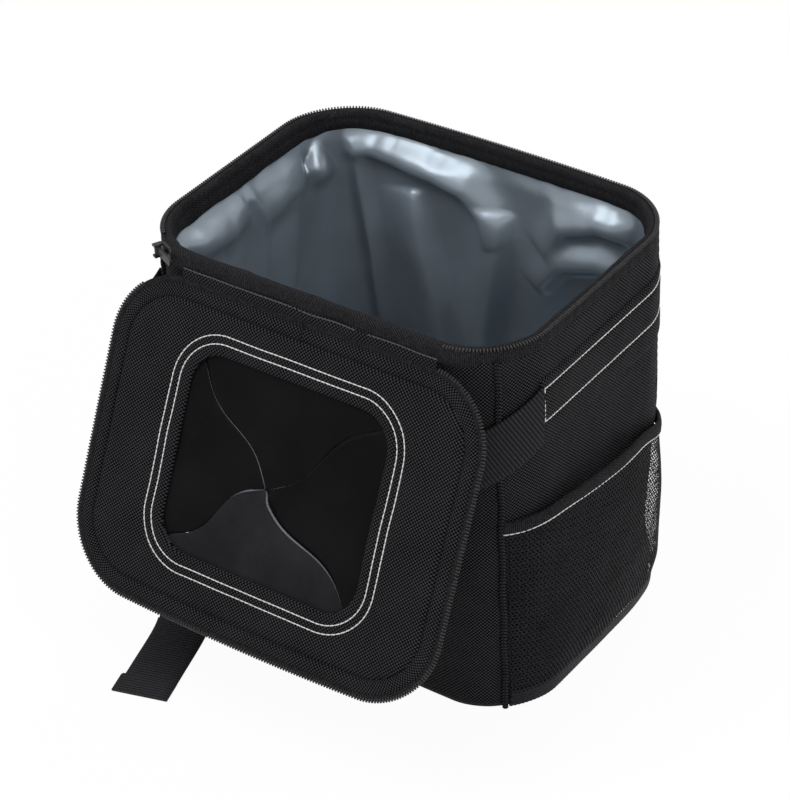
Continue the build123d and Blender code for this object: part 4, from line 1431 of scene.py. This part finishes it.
class CARBIN_OT_lid(bpy.types.Operator):
    """Padded lid with its window, rolled binding, zip tape and stitches"""

    bl_idname = "car_bin.lid"
    bl_label = "Lid"

    side_count = 64
    arc_count = 20

    def execute(self, context):
        self.pad()
        self.binding()
        self.tape()
        self.seams()
        return {"FINISHED"}

    def pad(self):
        """Both faces of the lid and the turned edge of its window, as one closed pad."""
        near = MM * np.array((
            0, 0.5, 1.2, 2.2, 3.4, 4.6, 5.3, 5.9, 6.5, 7.1,
            7.7, 8.7, 9.7, 10.3, 10.8, 11.3, 11.8, 12.4, 13.5))
        loops = [window_loop(grow, self.side_count, self.arc_count) for grow in near]
        insets = (LID_CREASE + 1.5 * MM, LID_CREASE, LID_CREASE - 1.2 * MM, LID_CREASE - 2.4 * MM, 8 * MM)
        edges = [bin_loop(inset, self.side_count, self.arc_count) for inset in insets]
        spread = len(near) - 1
        for share in np.linspace(0, 1, 10)[1:]:
            loops.append(loops[spread] * (1 - share) + edges[0] * share)
        loops += edges[1:]
        plan = np.stack(loops)
        swell = lid_swell(plan[..., 0], plan[..., 1])
        falls = np.zeros((len(loops), 1))
        falls[-len(edges):, 0] = (0.0, 0.35, 0.85, 1.0, 1.0)
        rolls = 1 - smooth_share(near, 0, 2.4 * MM)
        rolled = np.concatenate((rolls, np.zeros(len(loops) - len(near))))[:, None]
        sink = 1.5 * MM * falls + 1.1 * MM * rolled**2
        inner = -swell * (1 - falls) + sink
        outer = LID_THICKNESS + swell * (1 - falls) - sink
        inner_face = np.concatenate((plan, inner[..., None]), axis=-1)
        outer_face = np.concatenate((plan, outer[..., None]), axis=-1)[::-1]
        rows = np.concatenate((inner_face, outer_face))
        points = lid_place(rows)
        faces = grid_faces(len(rows), plan.shape[1], rows_closed=True, columns_closed=True)
        pad = new_piece("lid_pad", points, faces[:, ::-1], woven_cloth(), rows[..., :2])
        carry(pad, "lid", "woven_fabric", "lid_inner_panel", "lid_foam", "lid_top_panel")

    def binding(self):
        """Rolled tape between the lid's face and its zip."""
        outline = Outline()
        runs = even_runs(outline.length, 1.5 * MM)
        angles = np.linspace(0, TURN, 18, endpoint=False)
        wave = soft_waves(runs, 0.0, seed=55, longest=0.06, shortest=0.012)
        pucker = 0.12 * MM * np.sin(runs * TURN / (6.5 * MM) + wave)
        half_width = 4.3 * MM
        half_height = LID_THICKNESS / 2 + 0.5 * MM
        squared_cos = np.sign(np.cos(angles)) * np.abs(np.cos(angles)) ** 0.8
        squared_sin = np.sign(np.sin(angles)) * np.abs(np.sin(angles)) ** 0.8
        depths = -7.6 * MM + squared_cos[None, :] * (half_width + 0.2 * MM * wave + pucker)[:, None]
        heights = LID_THICKNESS / 2 + squared_sin[None, :] * (half_height + pucker)[:, None]
        points, faces, chart = band(outline, runs, depths, heights, True)
        binding = new_piece("lid_binding", lid_place(points), faces, woven_cloth(), chart)
        carry(binding, "lid", "binding", "lid_edge_binding")

    def tape(self):
        """Woven zip tape that the lid's teeth stand on."""
        outline = Outline()
        runs = even_runs(outline.length, 2.0 * MM)
        wave = 0.15 * MM * soft_waves(runs, 0.0, seed=57, longest=0.05, shortest=0.015)
        depth = np.array((-4.6, -3.0, -1.0, -0.2, -0.2, -1.0, -3.0, -4.6)) * MM
        level = np.array((1.3, 1.0, 0.9, 1.1, 1.9, 2.2, 2.3, 2.4)) * MM
        depths = np.broadcast_to(depth, (len(runs), len(depth)))
        heights = level[None, :] + wave[:, None]
        points, faces, chart = band(outline, runs, depths, heights, True)
        tape = new_piece("lid_tape", lid_place(points), faces, ribbed_tape(), chart)
        carry(tape, "lid", "zip_tape", "lid_zip_tape")

    def seams(self):
        """Two rings of stitches round the window."""
        rows = []
        for ring in STITCH_RINGS:
            loop = window_loop(ring, side_count=60, arc_count=40)
            level = -lid_swell(loop[:, 0], loop[:, 1]) - 0.15 * MM
            path = lid_place(np.concatenate((loop, level[:, None]), axis=1))
            ups = lid_place(np.array((0.0, 0.0, -1.0))) - lid_place(np.zeros(3))
            rows.append(stitch_row(path, np.broadcast_to(ups, path.shape), closed=True))
        sewn = stitches("lid_stitches", rows, white_thread())
        carry(sewn, "lid", "woven_fabric")


class CARBIN_OT_mouth(bpy.types.Operator):
    """Slit rubber sheet in the lid's window"""

    bl_idname = "car_bin.mouth"
    bl_label = "Slit Mouth"

    sheet_low = 3.1 * MM
    sheet_thickness = 1.2 * MM
    margin = 8 * MM
    slit_bend = 4 * MM
    slit_gap = 0.4 * MM
    end_inset = 7.5 * MM
    meeting = (-4 * MM, 5 * MM)

    def execute(self, context):
        corners = ((1, -1), (1, 1), (-1, 1), (-1, -1))
        # The flap on the side away from the hinge stands up most
        rises = (1.2 * MM, 5.0 * MM, 0.8 * MM, 0.4 * MM)
        points = []
        faces = []
        charts = []
        start = 0
        for index, corner in enumerate(corners):
            following = corners[(index + 1) % len(corners)]
            plan, level = self.flap(corner, following, rises[index], 61 + index)
            points.append(np.concatenate((plan, level[..., None]), axis=-1).reshape(-1, 3))
            charts.append(plan.reshape(-1, 2))
            faces += (grid_faces(plan.shape[0], plan.shape[1]) + start).tolist()
            start += plan.shape[0] * plan.shape[1]
        sheet = lid_place(np.concatenate(points))
        chart = np.concatenate(charts)
        mouth = new_piece("slit_mouth", sheet, faces, slit_rubber(), chart, thickness=self.sheet_thickness)
        # Painted light: the flap that stands up most gets a copy of the rubber 4.2 times paler, for the
        # light it catches.
        mouth.data.materials.append(slit_rubber("dusty_rubber", paler_by=4.2))
        # The cut edges and rim of the sheet take a copy of the rubber 34 times paler.
        mouth.data.materials.append(slit_rubber("cut_edge", paler_by=34.0))
        mouth.modifiers["thickness"].material_offset_rim = 2
        flap_faces = len(faces) // len(corners)
        # The second flap, the one that stands up most, takes the painted lit rubber.
        for face in mouth.data.polygons[flap_faces:2 * flap_faces]:
            face.material_index = 1
        carry(mouth, "lid", "rubber_sheet", "lid_diaphragm")
        return {"FINISHED"}

    def flap(self, corner, following, most_rise, seed):
        """Plan and levels of the sheet between two slits, out to where the lid holds it."""
        half_x = sizes().window_width / 2
        half_y = sizes().window_depth / 2
        rows = np.linspace(0.015, 1, 40)
        columns = np.linspace(0, 1, 31)
        slits = []
        sides = []
        for side_x, side_y in (corner, following):
            end_x = side_x * (half_x - self.end_inset)
            end_y = side_y * (half_y - self.end_inset)
            slits.append(self.slit(end_x, end_y, rows))
            sides.append(np.array((side_x * (half_x + self.margin), side_y * (half_y + self.margin))))
        chord = np.linalg.norm(slits[1] - slits[0], axis=1)
        trim = np.minimum(self.slit_gap / 2 / np.maximum(chord, 1e-6), 0.3)
        trim = trim * (1 - smooth_share(rows, 0.93, 1))
        share = trim[:, None] + columns[None, :] * (1 - 2 * trim)[:, None]
        flap = slits[0][:, None, :] * (1 - share)[..., None] + slits[1][:, None, :] * share[..., None]
        curl = 0.35 + 0.65 * np.abs(2 * columns[None, :] - 1) ** 2
        rise = most_rise * (1 - rows[:, None]) ** 1.3 * curl
        waves = soft_waves(flap[..., 0], flap[..., 1], seed=seed, longest=0.09, shortest=0.03)
        rise = rise * smooth_share(rows, 0, 0.12)[:, None] + 0.3 * MM * waves
        border = sides[0] * (1 - columns)[:, None] + sides[1] * columns[:, None]
        steps = np.linspace(0, 1, 5)[1:, None, None]
        outer = flap[-1][None, :, :] * (1 - steps) + border[None, :, :] * steps
        lift = np.concatenate((rise * smooth_share(1 - rows, 0, 0.3)[:, None], np.zeros(outer.shape[:2])))
        return np.concatenate((flap, outer)), self.sheet_low - lift

    def slit(self, end_x, end_y, shares):
        """One S-shaped slit from where the slits meet towards a corner."""
        start_x, start_y = self.meeting
        reach_x = end_x - start_x
        reach_y = end_y - start_y
        length = math.hypot(reach_x, reach_y)
        bend = self.slit_bend * np.sin(shares * TURN)
        x = start_x + reach_x * shares - reach_y / length * bend
        y = start_y + reach_y * shares + reach_x / length * bend
        return np.stack((x, y), axis=1)


class CARBIN_OT_hinge(bpy.types.Operator):
    """Cloth strip that joins the lid to the rim, shaped for the lid as it hangs"""

    bl_idname = "car_bin.hinge"
    bl_label = "Hinge Strip"

    def execute(self, context):
        half = STRIP_HIGH[0]
        across = np.linspace(-half, half, 121)
        wall_y = FRONT_Y - 0.7 * MM
        lid_edge = lid_place(np.array((0.0, FRONT_Y + 1.5 * MM, 1.8 * MM)))
        route = (
            (wall_y, STRIP_LOW[2]),
            (wall_y - 0.1 * MM, RIM_TOP - 11 * MM),
            (wall_y - 0.6 * MM, RIM_TOP - 8.2 * MM),
            (wall_y - 1.9 * MM, RIM_TOP - 7.6 * MM),
            (wall_y - 2.9 * MM, RIM_TOP - 9.2 * MM),
            (lid_edge[1] - 0.5 * MM, lid_edge[2] + 3 * MM),
            (lid_edge[1], lid_edge[2]),
        )
        flat = np.array([(0.0, y, z) for y, z in route])
        section, runs = smooth_route(flat, 0.5 * MM)
        x, run = np.meshgrid(across, runs)
        section_y = np.broadcast_to(section[:, 1][:, None], x.shape)
        section_z = np.broadcast_to(section[:, 2][:, None], x.shape)
        free = smooth_share(run, 4 * MM, 9 * MM) * smooth_share(runs[-1] - run, 1 * MM, 7 * MM)
        sway = soft_waves(x, run, seed=71, longest=0.08, shortest=0.02)
        y = section_y - 0.7 * MM * free * np.maximum(sway, -0.6)
        z = section_z + 0.5 * MM * free * sway
        points = np.stack((x, y, z), axis=-1)
        faces = grid_faces(len(runs), len(across))
        chart = np.stack((x, run), axis=-1)
        strip = new_piece("hinge_cloth", points, faces, woven_cloth(), chart, thickness=0.8 * MM, offset=0.0)
        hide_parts("hinge_strip")
        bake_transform(strip)
        self.seam(half)
        return {"FINISHED"}

    def seam(self, half):
        """Grey stitches along the foot of the binding that is turned over the front of the rim; their pale
        grey is a painted highlight on the binding's folded edge.
        """
        x = np.linspace(-half, half, 200)
        forward = soft_waves(x, 0.0, seed=73, longest=0.05, shortest=0.015)
        upward = soft_waves(x, 0.0, seed=74, longest=0.06, shortest=0.02)
        y = FRONT_Y - 3.2 * MM - 0.3 * MM * forward
        z = RIM_TOP - 7.4 * MM + 0.4 * MM * upward
        ups = np.broadcast_to(np.array((0.0, -0.8, 0.6)), (len(x), 3))
        row = stitch_row(np.stack((x, y, z), axis=1), ups)
        # Painted highlight: the thread's pale grey stands in for light caught on the binding's folded edge.
        sewn = stitches("rim_highlight_stitches", [row], white_thread("grey_thread", share=0.08))
        carry(sewn, "bin", "binding")


# Stage

def placed(side, up, back, place):
    """Matrix of a camera or lamp from its three axes and its place."""
    columns = (side, up, back, place)
    rows = [[float(column[axis]) for column in columns] for axis in range(3)]
    return mathutils.Matrix(rows + [[0.0, 0.0, 0.0, 1.0]])


class CARBIN_OT_stage(bpy.types.Operator):
    """White floor, soft studio light and the camera"""

    bl_idname = "car_bin.stage"
    bl_label = "Stage"

    azimuth = math.radians(36.65)
    elevation = math.radians(35.24)
    roll = math.radians(-2.80)
    camera_place = (0.79552, -1.0895, 1.07557)
    focal_pixels = 2900.0
    picture_height = 799.0

    def execute(self, context):
        half = 4.0
        drop = -0.4 * MM
        corners = ((-half, -half, drop), (half, -half, drop), (half, half, drop), (-half, half, drop))
        floor = new_piece("floor", corners, [[0, 1, 2, 3]], pale_floor())
        self.camera(context)
        self.lamp(context, "key_light", (-0.9, -1.1, 2.3), size=1.6, power=34.0)
        self.lamp(context, "side_light", (2.0, -0.7, 1.5), size=1.4, power=24.0)
        self.lamp(context, "back_light", (0.2, 1.7, 1.9), size=1.4, power=16.0)
        self.world(context)
        context.scene.view_settings.view_transform = "Standard"
        return {"FINISHED"}

    def camera(self, context):
        """Camera at the photograph's viewing angle."""
        data = bpy.data.cameras.new("camera")
        data.sensor_width = 36.0
        data.lens = self.focal_pixels * data.sensor_width / self.picture_height
        data.clip_start = 0.05
        data.clip_end = 30.0
        camera = bpy.data.objects.new("camera", data)
        level = np.array((math.cos(self.azimuth), math.sin(self.azimuth), 0.0))
        back = np.array((
            math.sin(self.azimuth) * math.cos(self.elevation),
            -math.cos(self.azimuth) * math.cos(self.elevation),
            math.sin(self.elevation),
        ))
        upright = np.cross(back, level)
        right = level * math.cos(self.roll) + upright * math.sin(self.roll)
        camera.matrix_world = placed(right, np.cross(back, right), back, self.camera_place)
        context.scene.collection.objects.link(camera)
        context.scene.camera = camera

    def lamp(self, context, name, place, size, power):
        """A large soft lamp that faces the bin."""
        data = bpy.data.lights.new(name, "AREA")
        data.shape = "DISK"
        data.size = size
        data.energy = power
        lamp = bpy.data.objects.new(name, data)
        aim = np.array((0.0, 0.0, 0.1)) - np.array(place)
        back = -aim / np.linalg.norm(aim)
        side = np.cross(np.array((0.0, 0.0, 1.0)), back)
        side = side / np.linalg.norm(side)
        lamp.matrix_world = placed(side, np.cross(back, side), back, place)
        context.scene.collection.objects.link(lamp)

    def world(self, context):
        """Soft white surroundings."""
        world = bpy.data.worlds.new("studio")
        board = NodeBoard(world)
        white = (1, 1, 1, 1)
        soft = board.add("ShaderNodeBackground", {}, {"Color": white, "Strength": 0.45})
        plain_white = board.add("ShaderNodeBackground", {}, {"Color": white, "Strength": 1.0})
        seen = board.light_path("Is Camera Ray", "Is Glossy Ray", "Is Transmission Ray")
        mixed = board.add("ShaderNodeMixShader", {}, {0: seen, 1: soft, 2: plain_white})
        board.node("ShaderNodeOutputWorld", {}, {0: mixed})
        context.scene.world = world


# Panel and start

OPERATORS = (
    CARBIN_OT_stage,
    CARBIN_OT_walls,
    CARBIN_OT_rim,
    CARBIN_OT_zip,
    CARBIN_OT_lining,
    CARBIN_OT_sleeve,
    CARBIN_OT_straps,
    CARBIN_OT_pockets,
    CARBIN_OT_lid,
    CARBIN_OT_mouth,
    CARBIN_OT_hinge,
)


class CARBIN_PT_panel(bpy.types.Panel):
    """Lists the pieces and the sizes and colours behind them"""

    bl_idname = "CARBIN_PT_panel"
    bl_label = "Car Bin"
    bl_space_type = "VIEW_3D"
    bl_region_type = "UI"
    bl_category = "Car Bin"

    def draw(self, context):
        for group in (context.scene.car_bin_sizes, context.scene.car_bin_colours):
            for key in group.__annotations__:
                self.layout.prop(group, key)
        for operator in OPERATORS:
            self.layout.operator(operator.bl_idname)


CLASSES = (CarBinSizes, CarBinColours) + OPERATORS + (CARBIN_PT_panel,)


def register():
    """Adds the bin's sizes, colours, operators and panel."""
    for kind in CLASSES:
        bpy.utils.register_class(kind)
    bpy.types.Scene.car_bin_sizes = bpy.props.PointerProperty(type=CarBinSizes)
    bpy.types.Scene.car_bin_colours = bpy.props.PointerProperty(type=CarBinColours)


def unregister():
    """Takes them away again."""
    del bpy.types.Scene.car_bin_colours
    del bpy.types.Scene.car_bin_sizes
    for kind in reversed(CLASSES):
        bpy.utils.unregister_class(kind)


def main():
    """Dresses the bin piece by piece."""
    register()
    for operator in OPERATORS:
        group, name = operator.bl_idname.split(".")
        getattr(getattr(bpy.ops, group), name)()


if __name__ == "__main__":
    main()
